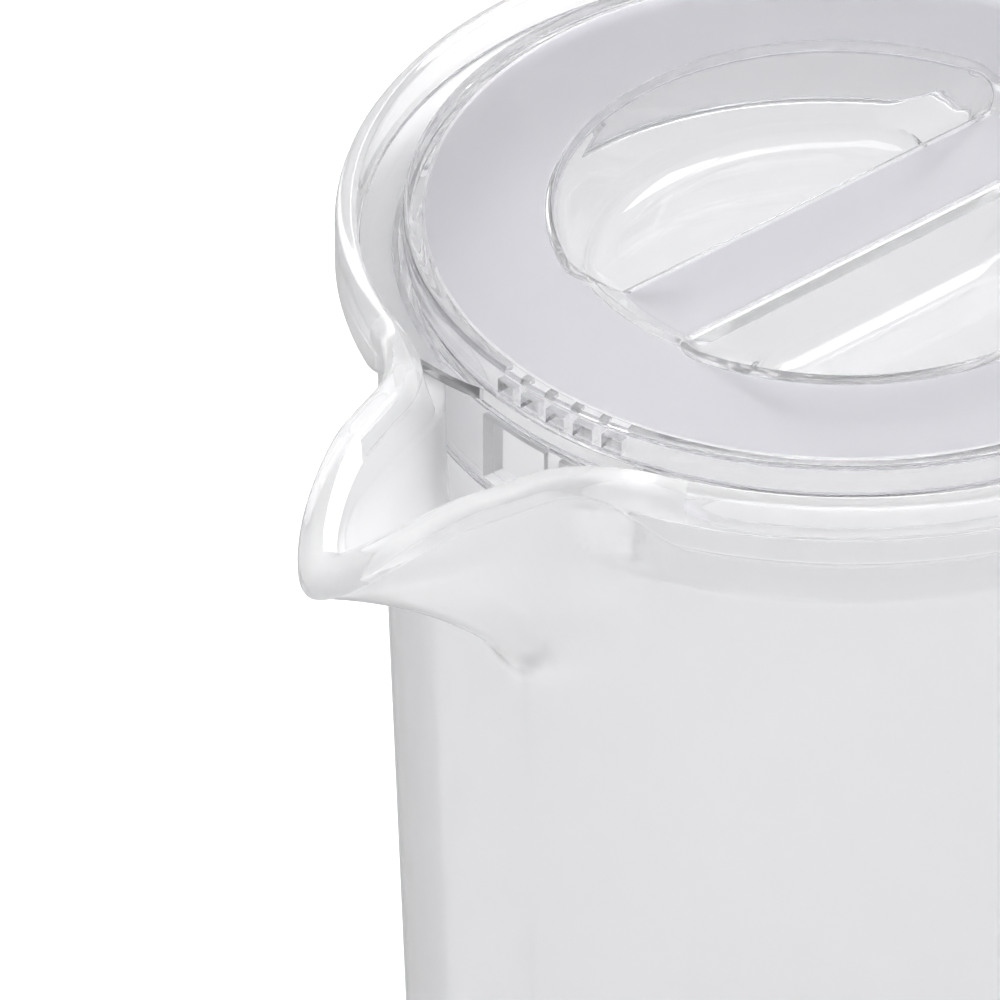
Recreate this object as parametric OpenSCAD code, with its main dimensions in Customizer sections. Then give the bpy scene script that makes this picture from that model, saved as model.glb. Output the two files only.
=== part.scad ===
// Clear moulded pitcher with a drop-in, turning lid.
// The jug stands on the table at z = 0, on the z axis. The spout points along -X and the handle along +X.

/* [Jug] */
// Height from the table to the top of the rim
jug_height = 205; // [160:1:260]
// Outside diameter of the rim band
rim_d = 130; // [115:1:150]
// Thickness of the rim above the ledge
rim_wall = 2.8; // [2:0.1:4]
// Height of the rim band's straight side
rim_band = 8.2; // [7:0.1:12]
// Rounding on the rim's outer top edge
rim_round = 2.2; // [0.5:0.1:2.6]
// Height of the slope from the rim band in to the wall
rim_under = 5; // [4:0.5:10]
// Width of the ledge that carries the lid
ledge_w = 4.6; // [3.5:0.1:6]
// Depth of the ledge below the top of the rim
ledge_depth = 6.6; // [6:0.1:8]
// Thickness of the jug's wall
wall = 2.6; // [2:0.1:4]
// Slope of the wall from upright, in degrees
draft = 1.7; // [0.5:0.1:3]
// Thickness of the bottom
base_thick = 3.4; // [2.5:0.1:6]
// Outer rounding between the wall and the bottom
base_corner = 9; // [6:0.5:16]

/* [Spout] */
// Reach of the spout's tip from the jug's axis
spout_reach = 96.3; // [85:0.1:110]
// Half of the spout's width where its sides leave the rim
spout_half_w = 16.5; // [12:0.5:20]
// Half angle of the rim that the spout and its root fillets take up, in degrees
spout_root = 21.5; // [18:0.5:25]
// Length of the fillets between the rim and the spout's sides
spout_fillet = 9.6; // [6:0.1:14]
// Drop of the lip at the tip
lip_drop = 8.5; // [3:0.1:14]
// Distance from the axis at which the lip starts to drop
lip_start = 78; // [70:1:82]
// Width of the lip's top
lip_w = 2.8; // [2:0.1:4]
// Step down from the rim's top to the lip's top
lip_step = 0.3; // [0.2:0.1:1]
// Depth of the lip's outer face at the tip, before the underside turns in
lip_face = 2; // [1:0.1:4]
// Depth below the rim at which the underside meets the wall
spout_depth = 47; // [35:1:70]

/* [Handle] */
// Drop from the top of the rim to the middle of the upper arm
handle_drop = 25; // [20:1:50]
// Height of the middle of the lower arm
handle_foot = 66; // [40:1:90]
// Distance from the jug's axis to the middle of the grip
handle_reach = 106; // [95:1:125]
// Width of the handle's bar
handle_w = 22; // [16:1:30]
// Thickness of the handle's bar
handle_t = 9; // [7:0.5:13]
// Bend of the upper corner, at the middle of the bar
handle_upper_bend = 22; // [16:1:30]
// Bend of the lower corner, at the middle of the bar
handle_lower_bend = 32; // [16:1:36]
// How far the welding pads stand proud of the wall
pad_t = 2.4; // [1.5:0.1:5]
// How far the welding pads reach past the bar on every side
pad_margin = 4; // [2:0.5:7]

/* [Lid ring] */
// Thickness of the flange that sits on the ledge
flange_t = 1.8; // [1.2:0.1:2.4]
// Depth of the skirt below the ledge
skirt_depth = 14; // [10:0.5:24]
// Thickness of the skirt
ring_wall = 1.5; // [1.4:0.1:2]
// Angle from the spout to the middle of the pouring window, in degrees
window_turn = 3.5; // [-10:0.5:10]
// Half angle of the pouring window, in degrees
window_half = 12.8; // [8:0.1:18]
// Width of the rib in the middle of the ring's window
window_rib = 2.4; // [1.5:0.1:4]
// Height of the skirt left above the window
window_head = 2.2; // [1.5:0.1:4]
// Height of the skirt left below the window
window_sill = 2; // [1.5:0.1:4]

/* [Lid cover] */
// Height of the cover's disc above the flange
disc_rise = 4.65; // [3.5:0.05:6]
// Thickness of the disc
disc_t = 2; // [1.5:0.1:2.6]
// Thickness of the cover's upright wall and spigot
cover_wall = 1.5; // [1.2:0.1:2.2]
// Rounding on the disc's outer edge
disc_round = 0.7; // [0.3:0.1:1.2]
// How far the disc laps over the ring
seat_lap = 0.9; // [0.6:0.1:1.3]
// Number of strainer slots
slot_count = 5; // [3:1:7]
// Width of a strainer slot
slot_w = 3; // [1.5:0.1:3.4]
// Spacing of the strainer slots round the cover
slot_pitch = 4.4; // [4.2:0.1:6]
// How far the snap bead stands out from the spigot
snap_out = 0.4; // [0.2:0.05:0.5]
// Height of the snap bead
snap_h = 0.8; // [0.6:0.1:1.2]
// Drop from the flange's top to the snap bead
snap_drop = 2.6; // [2.2:0.1:3]

/* [Grip] */
// Radius of the round recess that holds the finger wells
grip_r = 37.4; // [30:0.1:42]
// Width of the grip bar
bar_w = 14.5; // [10:0.5:20]
// Depth of the bar's top below the disc
bar_drop = 3.6; // [2:0.1:5]
// Length of the slope at each end of the bar
bar_ramp = 7.5; // [4:0.5:10]
// Depth of the finger wells below the disc
well_depth = 13; // [9:0.5:16]
// How far the wells narrow from the disc to their floor
well_taper = 4; // [1:0.5:6]
// Thickness of the walls round the wells
well_wall = 2; // [1.5:0.1:2.5]
// Angle from the pouring window to the grip bar, in degrees
bar_turn = -9; // [-20:0.5:20]

/* [Fits] */
// Gap below the flange when the lid is seated
seat_gap = 0.1; // [0.05:0.01:0.3]
// Gap between the flange and the rim
flange_gap = 0.35; // [0.2:0.05:0.8]
// Gap between the skirt's lower edge and the jug's wall
skirt_gap = 0.35; // [0.3:0.05:0.8]
// Radial clearance of the cover turning in the ring
turn_clear = 0.08; // [0.03:0.01:0.1]
// Gap below the disc where it laps over the ring
turn_gap = 0.05; // [0.03:0.01:0.1]
// Clearance round the snap bead in its groove
snap_clear = 0.1; // [0.05:0.01:0.2]

/* [Hidden] */
$fn = 96;
clear_plastic = [0.88, 0.88, 0.92];
// How far cutting shapes run past what they cut
over = 5;

// Curves of the spout: plan of its sides, sweep of its underside, narrowing with the depth, droop of its lip
plan_power = 1.3;
side_power = 0.55;
keel_power = 1.3;
narrow_power = 0.6;
narrow_least = 0.02;
fillet_power = 2;
fillet_most = 0.6;
droop_power = 1.5;
// Points along each side of an outline, outlines from the lip to the wall, and points along the lip
side_points = 14;
spout_outlines = 10;
lip_points = 10;
// How far an outline starts inside the wall, and its least reach and half width
root_lap = 0.4;
least_reach = 0.2;
least_half = 0.5;
least_flare = 0.1;

// Levels and radii of the jug
z_rim = jug_height;
z_ledge = z_rim - ledge_depth;
r_rim = rim_d / 2;
r_collar = r_rim - rim_wall;
r_mouth = r_collar - ledge_w;
taper = tan(draft);
z_under = z_rim - rim_band - rim_under;
spout_top = lip_drop + lip_face;
r_foot = wall_r(base_corner) - base_corner;

// Levels and radii of the lid
z_skirt = z_ledge - skirt_depth;
z_flange = z_ledge + seat_gap;
z_ring_top = z_flange + flange_t;
r_skirt = bore_r(z_skirt) - skirt_gap;
r_ring_bore = r_skirt - ring_wall;
r_flange = r_collar - flange_gap;
r_disc = r_ring_bore + seat_lap;
r_spigot = r_ring_bore - turn_clear;
r_groove = r_spigot + snap_out + snap_clear;
z_seat = z_ring_top + turn_gap;
z_disc = z_seat + disc_rise;
z_snap = z_ring_top - snap_drop;
z_well = z_disc - well_depth;
window_at = 180 + window_turn;
slot_step = slot_pitch / r_disc * 180 / PI;

// Outer and inner radius of the jug's wall at a height
function wall_r(z) = bore_r(z) + wall;
function bore_r(z) = r_mouth - (z_ledge - z) * taper;

// Outer radius of the rim and wall at a depth below the top of the rim
function outline_r(d) =
    d <= rim_band ? r_rim
    : d >= rim_band + rim_under ? wall_r(z_rim - d)
    : r_rim + (wall_r(z_under) - r_rim) * (d - rim_band) / rim_under;

// Jug before it is hollowed: wall, rounded bottom edge and rim band
module jug_outside() {
    rotate_extrude()
        difference() {
            union() {
                polygon([
                    [0, base_corner], [wall_r(base_corner), base_corner],
                    [wall_r(z_under), z_under],
                    [r_rim, z_rim - rim_band], [r_rim, z_rim - rim_round],
                    [r_rim - rim_round, z_rim - rim_round], [r_rim - rim_round, z_rim], [0, z_rim]
                ]);
                square([r_foot, base_corner]);
                intersection() {
                    translate([r_foot, base_corner]) circle(base_corner);
                    square([wall_r(base_corner), base_corner]);
                }
                translate([r_rim - rim_round, z_rim - rim_round]) circle(rim_round);
            }
            translate([-r_rim, -over]) square([r_rim, z_rim + 2 * over]);
        }
}

// Space inside the jug, with the ledge and the rim above it
module jug_inside() {
    inner_corner = base_corner - wall;
    r_low = bore_r(base_thick + inner_corner);
    rotate_extrude()
        union() {
            polygon([
                [0, base_thick + inner_corner], [r_low, base_thick + inner_corner], [r_mouth, z_ledge],
                [r_collar, z_ledge], [r_collar, z_rim + over], [0, z_rim + over]
            ]);
            translate([0, base_thick]) square([r_low - inner_corner, inner_corner]);
            intersection() {
                translate([r_low - inner_corner, base_thick + inner_corner]) circle(inner_corner);
                translate([r_low - inner_corner, base_thick]) square(inner_corner);
            }
        }
}

// Outline of the spout at one depth below the rim, seen from above. The tip's reach and the sides' half width
// shrink with the depth, and the sides run out into the wall in fillets. inset draws it in by the lip's
// width.
function spout_sink(d) = max(0, min(1, (d - spout_top) / (spout_depth - spout_top)));
function spout_reach_at(d, root) = root + (spout_reach - root) * pow(1 - spout_sink(d), keel_power);
function spout_narrow(d) = pow(max(narrow_least, 1 - pow(spout_sink(d), 2)), narrow_power);
function spout_side(u, root, tip, half, root_half, fillet) =
    half * pow(max(0, 1 - pow((u - root) / (tip - root), plan_power)), side_power)
    + (root_half - half) * pow(max(0, 1 - (u - root) / fillet), fillet_power);
function spout_half_ring(root, tip, half, root_half, fillet) = [
    for (i = [0:side_points])
        let (u = root + (tip - root) * (1 - pow(1 - i / side_points, 2)))
        [u, spout_side(u, root, tip, half, root_half, fillet)]
];
function spout_ring(d, inset) =
    let (
        narrow = spout_narrow(d),
        edge = outline_r(max(d, 0)) - (inset > 0 ? (d < ledge_depth ? rim_wall : wall) : 0),
        angle = spout_root * narrow,
        root = edge * cos(angle) - root_lap,
        tip = max(root + least_reach, spout_reach_at(d + inset, root) - inset / 2),
        half = max(least_half, spout_half_w * narrow - inset),
        root_half = max(half + least_flare, edge * sin(angle) - inset),
        fillet = min(spout_fillet, fillet_most * (tip - root)),
        side = spout_half_ring(root, tip, half, root_half, fillet),
        z = z_rim - d,
        deep = root - 3 * wall
    )
    concat(
        [[-deep, -root_half, z]],
        [for (p = side) [-p[0], -p[1], z]],
        [for (i = [side_points - 1:-1:0]) [-side[i][0], side[i][1], z]],
        [[-deep, root_half, z]]
    );

// Solid lofted through the spout's outlines at a list of depths
module spout_loft(depths, inset) {
    rings = [for (d = depths) spout_ring(d, inset)];
    n = len(rings[0]);
    m = len(rings);
    polyhedron(
        points = [for (ring = rings) each ring],
        faces = concat(
            [[for (i = [0:n - 1]) i]],
            [[for (i = [n - 1:-1:0]) (m - 1) * n + i]],
            [
                for (j = [0:m - 2], i = [0:n - 1])
                    let (a = j * n + i, b = j * n + (i + 1) % n)
                    each [[a, a + n, b], [a + n, b + n, b]]
            ]
        )
    );
}

// Depths of the spout's outlines, from its lip to where it runs out into the wall
function spout_depths(top, bottom) =
    concat([top], [for (i = [0:spout_outlines]) spout_top + (bottom - spout_top) * i / spout_outlines]);

// Everything above the lip, which runs just below the rim's level and then drops to the tip
module above_lip() {
    far = spout_reach + over;
    top = z_rim + 2 * over;
    z_lip = z_rim - lip_step;
    lip = [
        for (i = [0:lip_points])
            let (t = i / lip_points)
            [lip_start + (spout_reach - lip_start) * t, z_lip - lip_drop * pow(t, droop_power)]
    ];
    rotate([90, 0, 180])
        linear_extrude(2 * r_rim, center = true)
            polygon(concat([[0, z_lip]], lip, [[far, z_lip - lip_drop], [far, top], [0, top]]));
}

module jug_body() {
    color(clear_plastic)
        difference() {
            union() {
                jug_outside();
                difference() {
                    spout_loft(spout_depths(-over, spout_depth), 0);
                    above_lip();
                }
            }
            jug_inside();
            spout_loft(spout_depths(-2 * over, spout_depth - wall), lip_w);
        }
}

// Flat bar with round edges, in cross-section
module bar_section(w, t) {
    square([t, w - t], center = true);
    for (s = [-1, 1]) translate([0, s * (w - t) / 2]) circle(d = t);
}

// Straight stretch of the handle along +X, from the axis of the jug
module handle_arm(z, length) {
    translate([0, 0, z])
        rotate([90, 0, 90])
            linear_extrude(length) rotate(90) bar_section(handle_w, handle_t);
}

// Welding pad where an arm meets the wall
module handle_pad(z) {
    translate([0, 0, z])
        rotate([90, 0, 90])
            linear_extrude(wall_r(z) + pad_t)
                rotate(90) bar_section(handle_w + 2 * pad_margin, handle_t + 2 * pad_margin);
}

// Quarter bend of the handle, about an axis along Y
module handle_bend(bend, x, z, turn) {
    translate([x, 0, z])
        rotate([90, turn, 0])
            rotate_extrude(angle = 90) translate([bend, 0]) bar_section(handle_w, handle_t);
}

module handle() {
    z_upper = z_rim - handle_drop;
    z_lower = handle_foot;
    z_grip_top = z_upper - handle_upper_bend;
    z_grip_low = z_lower + handle_lower_bend;
    color(clear_plastic)
        difference() {
            union() {
                handle_arm(z_upper, handle_reach - handle_upper_bend);
                handle_arm(z_lower, handle_reach - handle_lower_bend);
                handle_bend(handle_upper_bend, handle_reach - handle_upper_bend, z_grip_top, 0);
                handle_bend(handle_lower_bend, handle_reach - handle_lower_bend, z_grip_low, 90);
                translate([handle_reach, 0, z_grip_low])
                    linear_extrude(z_grip_top - z_grip_low) bar_section(handle_w, handle_t);
                handle_pad(z_upper);
                handle_pad(z_lower);
            }
            jug_outside();
        }
}

// Wedge about the z axis as wide as the pouring window
module window_wedge(z0, z1) {
    far = 2 * r_rim;
    a0 = window_at - window_half;
    a1 = window_at + window_half;
    translate([0, 0, z0])
        linear_extrude(z1 - z0) polygon([[0, 0], far * [cos(a0), sin(a0)], far * [cos(a1), sin(a1)]]);
}

// Ring of rectangular section about the z axis
module hoop(r0, r1, z0, z1) {
    rotate_extrude() translate([r0, z0]) square([r1 - r0, z1 - z0]);
}

// Pouring window through the skirt or the spigot, below its head and above its sill
module pour_window(r_in, r_out) {
    intersection() {
        hoop(r_in, r_out, z_skirt + window_sill, z_flange - window_head);
        window_wedge(z_skirt, z_flange);
    }
}

module lid_ring() {
    rib_half = window_rib / 2;
    color(clear_plastic)
        difference() {
            union() {
                hoop(r_ring_bore, r_skirt, z_skirt, z_ring_top);
                hoop(r_skirt, r_flange, z_flange, z_ring_top);
            }
            hoop(0, r_groove, z_snap - snap_h - snap_clear, z_snap + snap_clear);
            intersection() {
                hoop(r_skirt, r_rim, z_flange - over, z_ring_top + over);
                window_wedge(z_flange - over, z_ring_top + over);
            }
            difference() {
                pour_window(r_ring_bore - over, r_skirt + over);
                rotate(window_at)
                    translate([0, -rib_half, z_skirt]) cube([2 * r_rim, window_rib, skirt_depth + over]);
            }
        }
}

// Turned shape of the cover: disc with a rounded edge, upright wall, spigot and snap bead
module cover_turning() {
    rotate_extrude() {
        translate([0, z_disc - disc_t]) square([r_disc - disc_round, disc_t]);
        translate([r_disc - cover_wall, z_seat]) square([cover_wall, disc_rise - disc_round]);
        intersection() {
            translate([r_disc - disc_round, z_disc - disc_round]) circle(disc_round);
            translate([r_disc - disc_round, z_disc - disc_round]) square(disc_round);
        }
        translate([r_disc - cover_wall, z_disc - disc_t]) square([cover_wall - disc_round, disc_t]);
        translate([r_spigot - cover_wall, z_skirt]) square([cover_wall, z_seat - z_skirt + cover_wall]);
        translate([r_spigot - cover_wall, z_snap - snap_h]) square([cover_wall + snap_out, snap_h]);
    }
}

// Round cup that the finger wells are sunk into, as wide at each level as the wells and their walls
module well_cup(extra, z_low) {
    translate([0, 0, z_low])
        cylinder(h = z_disc - z_low, r1 = grip_r - well_taper + extra, r2 = grip_r + extra);
}

// Finger wells either side of the bar, and the shallow dish that lowers the bar's top
module finger_wells() {
    difference() {
        well_cup(0, z_well);
        translate([-2 * grip_r, -bar_w / 2, z_well - over])
            cube([4 * grip_r, bar_w, well_depth + 2 * over]);
    }
    translate([0, 0, z_disc - bar_drop])
        cylinder(h = bar_drop, r1 = grip_r - bar_ramp, r2 = grip_r);
    translate([0, 0, z_disc - disc_round])
        cylinder(h = disc_round + over, r = grip_r);
}

// Hollow under the bar, which keeps the moulding's walls even
module under_bar() {
    width = bar_w - 2 * well_wall;
    top = z_disc - bar_drop - well_wall;
    translate([-2 * grip_r, -width / 2, z_well - over]) cube([4 * grip_r, width, top - z_well + over]);
}

module strainer_slots() {
    for (i = [0:slot_count - 1])
        rotate(window_at + (i - (slot_count - 1) / 2) * slot_step)
            translate([r_disc - 2 * cover_wall, -slot_w / 2, z_seat + turn_gap])
                cube([3 * cover_wall, slot_w, disc_rise - disc_t - turn_gap]);
}

module lid_cover() {
    color(clear_plastic)
        difference() {
            union() {
                cover_turning();
                rotate(window_at + bar_turn)
                    difference() {
                        well_cup(well_wall, z_well - well_wall);
                        under_bar();
                    }
            }
            rotate(window_at + bar_turn) finger_wells();
            strainer_slots();
            pour_window(r_spigot - 2 * cover_wall, r_spigot + over);
        }
}

jug_body();
handle();
lid_ring();
lid_cover();
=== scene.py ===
"""Clear moulded pitcher with a drop-in, turning lid, on a white studio floor. Sizes are in metres."""
import logging
import math
from dataclasses import dataclass, field
from enum import Enum, IntEnum
from typing import ClassVar

import bmesh
import bpy
import numpy as np
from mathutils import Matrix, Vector


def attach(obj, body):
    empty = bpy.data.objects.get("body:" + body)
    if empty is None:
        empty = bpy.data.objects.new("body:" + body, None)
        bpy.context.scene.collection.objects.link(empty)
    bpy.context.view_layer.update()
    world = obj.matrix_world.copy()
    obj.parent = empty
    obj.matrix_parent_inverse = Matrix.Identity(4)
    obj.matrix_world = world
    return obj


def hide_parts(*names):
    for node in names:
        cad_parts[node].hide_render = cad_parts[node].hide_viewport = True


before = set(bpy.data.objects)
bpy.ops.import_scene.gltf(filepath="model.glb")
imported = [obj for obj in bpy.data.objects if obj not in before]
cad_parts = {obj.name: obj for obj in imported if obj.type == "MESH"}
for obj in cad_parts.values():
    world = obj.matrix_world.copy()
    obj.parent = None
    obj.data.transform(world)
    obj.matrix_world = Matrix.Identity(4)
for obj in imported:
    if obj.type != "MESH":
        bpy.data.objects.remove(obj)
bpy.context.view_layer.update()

BELL_REACH = 3.0
MERGE_GAP = 1e-7
SLIVER = 1e-8
LEAST_LENGTH = 1e-12
log = logging.getLogger("pitcher")


class Finish(IntEnum):
    """The finishes that a piece's faces can have, in the order of its materials."""

    CLEAR = 0
    SOFT = 1
    CUT = 2


class LampUse(Enum):
    """What a soft box does: it lights the pitcher without showing in it, or it only shows in it."""

    LIGHT = "light"
    MIRROR = "mirror"


def ease(t: np.ndarray) -> np.ndarray:
    """Smooth step from 0 to 1, level at both ends."""
    t = np.clip(t, 0.0, 1.0)
    return t * t * (3.0 - 2.0 * t)


def blur(values: np.ndarray, sigma: float, axis: int, wrap: bool = False) -> np.ndarray:
    """Softens a table of values along one axis.

    Args:
        values: The table.
        sigma: Spread of the bell curve, in steps of the table.
        axis: The axis to soften.
        wrap: Whether the table closes on itself along that axis.

    Returns:
        The softened table, of the same shape.
    """
    reach = int(math.ceil(BELL_REACH * sigma))
    bell = np.exp(-0.5 * (np.arange(-reach, reach + 1) / sigma) ** 2)
    bell /= bell.sum()
    table = np.moveaxis(values, axis, -1)
    pad = [(0, 0)] * (table.ndim - 1) + [(reach, reach)]
    table = np.pad(table, pad, mode="wrap" if wrap else "edge")
    soft = np.apply_along_axis(lambda row: np.convolve(row, bell, mode="valid"), -1, table)
    return np.moveaxis(soft, -1, axis)


def quarter(radius: float, steps: int) -> list[tuple[float, float]]:
    """Points of a quarter round, as (in from the side, down from the top), from the side to the top.

    Args:
        radius: Radius of the round.
        steps: Number of stretches.

    Returns:
        The points, ends included.
    """
    turns = [0.5 * math.pi * i / steps for i in range(steps + 1)]
    return [(radius * (1.0 - math.cos(t)), radius * (1.0 - math.sin(t))) for t in turns]


class MeshDraft:
    """Points and faces of one closed mesh while it is being drawn."""

    def __init__(self, name: str) -> None:
        """Starts an empty draft.

        Args:
            name: Name of the piece.
        """
        self.name = name
        self.tables: list[np.ndarray] = []
        self.faces: list[tuple[int, ...]] = []
        self.finishes: list[int] = []
        self.finish = Finish.CLEAR
        self.count = 0

    def add(self, points: np.ndarray) -> np.ndarray:
        """Adds points.

        Args:
            points: Table of points, whose last axis is x, y, z.

        Returns:
            The points' numbers, in the table's own layout.
        """
        points = np.asarray(points, float)
        numbers = np.arange(points[..., 0].size).reshape(points.shape[:-1]) + self.count
        self.tables.append(points.reshape(-1, 3))
        self.count += numbers.size
        return numbers

    def places(self) -> np.ndarray:
        """The places of all the points so far, by number."""
        return np.concatenate(self.tables)

    def face(self, *ring: int) -> None:
        """Adds one face, which takes the finish in hand."""
        self.faces.append(tuple(int(number) for number in ring))
        self.finishes.append(int(self.finish))

    def skin(self, rows: np.ndarray, wrap: bool = True, finishes: list[Finish] | None = None) -> None:
        """Covers rows of points with four-sided faces.

        Args:
            rows: Point numbers, one row after another.
            wrap: Whether each row closes on itself.
            finishes: Finish of each column, or None where all take the finish in hand.
        """
        for upper, lower in zip(rows[:-1], rows[1:]):
            ends = len(upper) if wrap else len(upper) - 1
            for i in range(ends):
                j = (i + 1) % len(upper)
                if finishes is not None:
                    self.finish = finishes[i]
                self.face(upper[i], upper[j], lower[j], lower[i])

    def cap(self, ring: np.ndarray) -> None:
        """Closes a flat ring of points with one face."""
        self.face(*ring)

    def zip_rings(self, outer: np.ndarray, inner: np.ndarray) -> None:
        """Fills the flat band between two round rings whose points don't line up.

        Args:
            outer: Point numbers of the larger ring.
            inner: Point numbers of the smaller ring.
        """
        places = self.places()
        sorted_rings = []
        for ring in (outer, inner):
            turn = np.arctan2(places[ring, 1], places[ring, 0])
            order = np.argsort(turn)
            sorted_rings.append((np.asarray(ring)[order], turn[order]))
        (a, turn_a), (b, turn_b) = sorted_rings
        i = j = 0
        while i < len(a) or j < len(b):
            next_a = turn_a[i + 1] if i + 1 < len(a) else turn_a[0] + 2.0 * math.pi
            next_b = turn_b[j + 1] if j + 1 < len(b) else turn_b[0] + 2.0 * math.pi
            here_a, here_b = a[i % len(a)], b[j % len(b)]
            if j >= len(b) or (i < len(a) and next_a <= next_b):
                self.face(here_a, a[(i + 1) % len(a)], here_b)
                i += 1
            else:
                self.face(here_a, b[(j + 1) % len(b)], here_b)
                j += 1

    def build(self, sharp_deg: float) -> bpy.types.Object:
        """Makes the mesh and its object.

        Args:
            sharp_deg: Edges that turn by more than this stay crisp.

        Returns:
            The new object, linked to the scene.
        """
        mesh = bpy.data.meshes.new(self.name)
        mesh.from_pydata([tuple(place) for place in self.places()], [], self.faces)
        mesh.polygons.foreach_set("material_index", self.finishes)
        drawn = bmesh.new()
        drawn.from_mesh(mesh)
        bmesh.ops.remove_doubles(drawn, verts=drawn.verts, dist=MERGE_GAP)
        bmesh.ops.dissolve_degenerate(drawn, edges=drawn.edges, dist=SLIVER)
        bmesh.ops.recalc_face_normals(drawn, faces=drawn.faces)
        for face in drawn.faces:
            face.smooth = True
        open_edges = sum(1 for edge in drawn.edges if not edge.is_manifold)
        drawn.to_mesh(mesh)
        drawn.free()
        mesh.set_sharp_from_angle(angle=math.radians(sharp_deg))
        piece = bpy.data.objects.new(self.name, mesh)
        bpy.context.scene.collection.objects.link(piece)
        log.info("%s: %d faces, %d open edges", self.name, len(mesh.polygons), open_edges)
        return piece


@dataclass(frozen=True)
class ClearPlastic:
    """Clear, colourless moulded plastic with faint flow ripples and a slightly uneven polish."""

    name: str
    tint: tuple[float, float, float]
    shade: tuple[float, float, float]
    polish: float
    wear: float
    ripple: float
    clear: float
    gloss: float = 0.0
    gloss_polish: float = 0.03
    ior: float = 1.5
    ripple_scale: float = 55.0
    ripple_detail: float = 2.0
    ripple_height: float = 0.00004
    cloud_scale: float = 18.0
    cloud_detail: float = 4.0
    cloud_span: tuple[float, float] = (0.3, 0.7)
    rub_span: tuple[float, float] = (0.35, 0.75)

    def make(self) -> bpy.types.Material:
        """Builds the finish, once for all the pieces that share it.

        Returns:
            The material.
        """
        known = bpy.data.materials.get(self.name)
        if known is not None:
            return known
        material = bpy.data.materials.new(self.name)
        material.use_nodes = True
        nodes = material.node_tree.nodes
        links = material.node_tree.links
        shader = nodes["Principled BSDF"]
        shader.inputs["Transmission Weight"].default_value = self.clear
        shader.inputs["IOR"].default_value = self.ior
        shader.inputs["Coat Weight"].default_value = self.gloss
        shader.inputs["Coat Roughness"].default_value = self.gloss_polish
        place = nodes.new("ShaderNodeTexCoord")
        clouds = nodes.new("ShaderNodeTexNoise")
        clouds.inputs["Scale"].default_value = self.cloud_scale
        clouds.inputs["Detail"].default_value = self.cloud_detail
        links.new(place.outputs["Object"], clouds.inputs["Vector"])
        colour = nodes.new("ShaderNodeValToRGB")
        tones = (self.shade, self.tint)
        for stop, position, tone in zip(colour.color_ramp.elements, self.cloud_span, tones):
            stop.position = position
            stop.color = (*tone, 1.0)
        links.new(clouds.outputs["Fac"], colour.inputs["Fac"])
        links.new(colour.outputs["Color"], shader.inputs["Base Color"])
        rubbed = nodes.new("ShaderNodeMapRange")
        rubbed.inputs["From Min"].default_value = self.rub_span[0]
        rubbed.inputs["From Max"].default_value = self.rub_span[1]
        rubbed.inputs["To Min"].default_value = self.polish
        rubbed.inputs["To Max"].default_value = self.wear
        links.new(clouds.outputs["Fac"], rubbed.inputs["Value"])
        links.new(rubbed.outputs["Result"], shader.inputs["Roughness"])
        ripples = nodes.new("ShaderNodeTexNoise")
        ripples.inputs["Scale"].default_value = self.ripple_scale
        ripples.inputs["Detail"].default_value = self.ripple_detail
        links.new(place.outputs["Object"], ripples.inputs["Vector"])
        bump = nodes.new("ShaderNodeBump")
        bump.inputs["Strength"].default_value = self.ripple
        bump.inputs["Distance"].default_value = self.ripple_height
        links.new(ripples.outputs["Fac"], bump.inputs["Height"])
        links.new(bump.outputs["Normal"], shader.inputs["Normal"])
        return material


JUG_CLEAR = ClearPlastic(
    "jug_clear", tint=(0.99, 0.99, 0.995), shade=(0.98, 0.98, 0.985),
    polish=0.07, wear=0.1, ripple=0.04, clear=0.75, gloss=1.0,
)
JUG_SOFT = ClearPlastic(
    "jug_soft", tint=(0.955, 0.955, 0.96), shade=(0.945, 0.945, 0.95),
    polish=0.3, wear=0.36, ripple=0.04, clear=0.64, gloss=1.0,
)
HANDLE_CLEAR = ClearPlastic(
    "handle_clear", tint=(0.87, 0.87, 0.88), shade=(0.85, 0.85, 0.86),
    polish=0.1, wear=0.16, ripple=0.04, clear=0.8,
)
LID_CLEAR = ClearPlastic(
    "lid_clear", tint=(0.985, 0.985, 0.99), shade=(0.975, 0.975, 0.985),
    polish=0.015, wear=0.03, ripple=0.06, clear=0.95,
)
LID_SOFT = ClearPlastic(
    "lid_soft", tint=(0.73, 0.72, 0.79), shade=(0.71, 0.7, 0.775),
    polish=0.35, wear=0.42, ripple=0.04, clear=0.9,
)
LID_CUT = ClearPlastic(
    "lid_cut", tint=(0.99, 0.99, 0.99), shade=(0.98, 0.98, 0.98),
    polish=0.4, wear=0.5, ripple=0.04, clear=0.35,
)


class Moulding:
    """One moulded piece: the node it stands for, the body it moves with, and its finishes."""

    node: ClassVar[str]
    body: ClassVar[str]
    slot: ClassVar[str]
    finishes: ClassVar[tuple[ClearPlastic, ...]]

    def build(self) -> bpy.types.Object:
        """Draws the piece, which each moulding does in its own way."""
        raise NotImplementedError

    def dress(self) -> bpy.types.Object:
        """Draws the piece, and gives it its finishes and its place in the frame.

        Returns:
            The piece's object.
        """
        piece = self.build()
        for finish in self.finishes:
            piece.data.materials.append(finish.make())
        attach(piece, self.body)
        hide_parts(self.node)
        return piece


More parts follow.
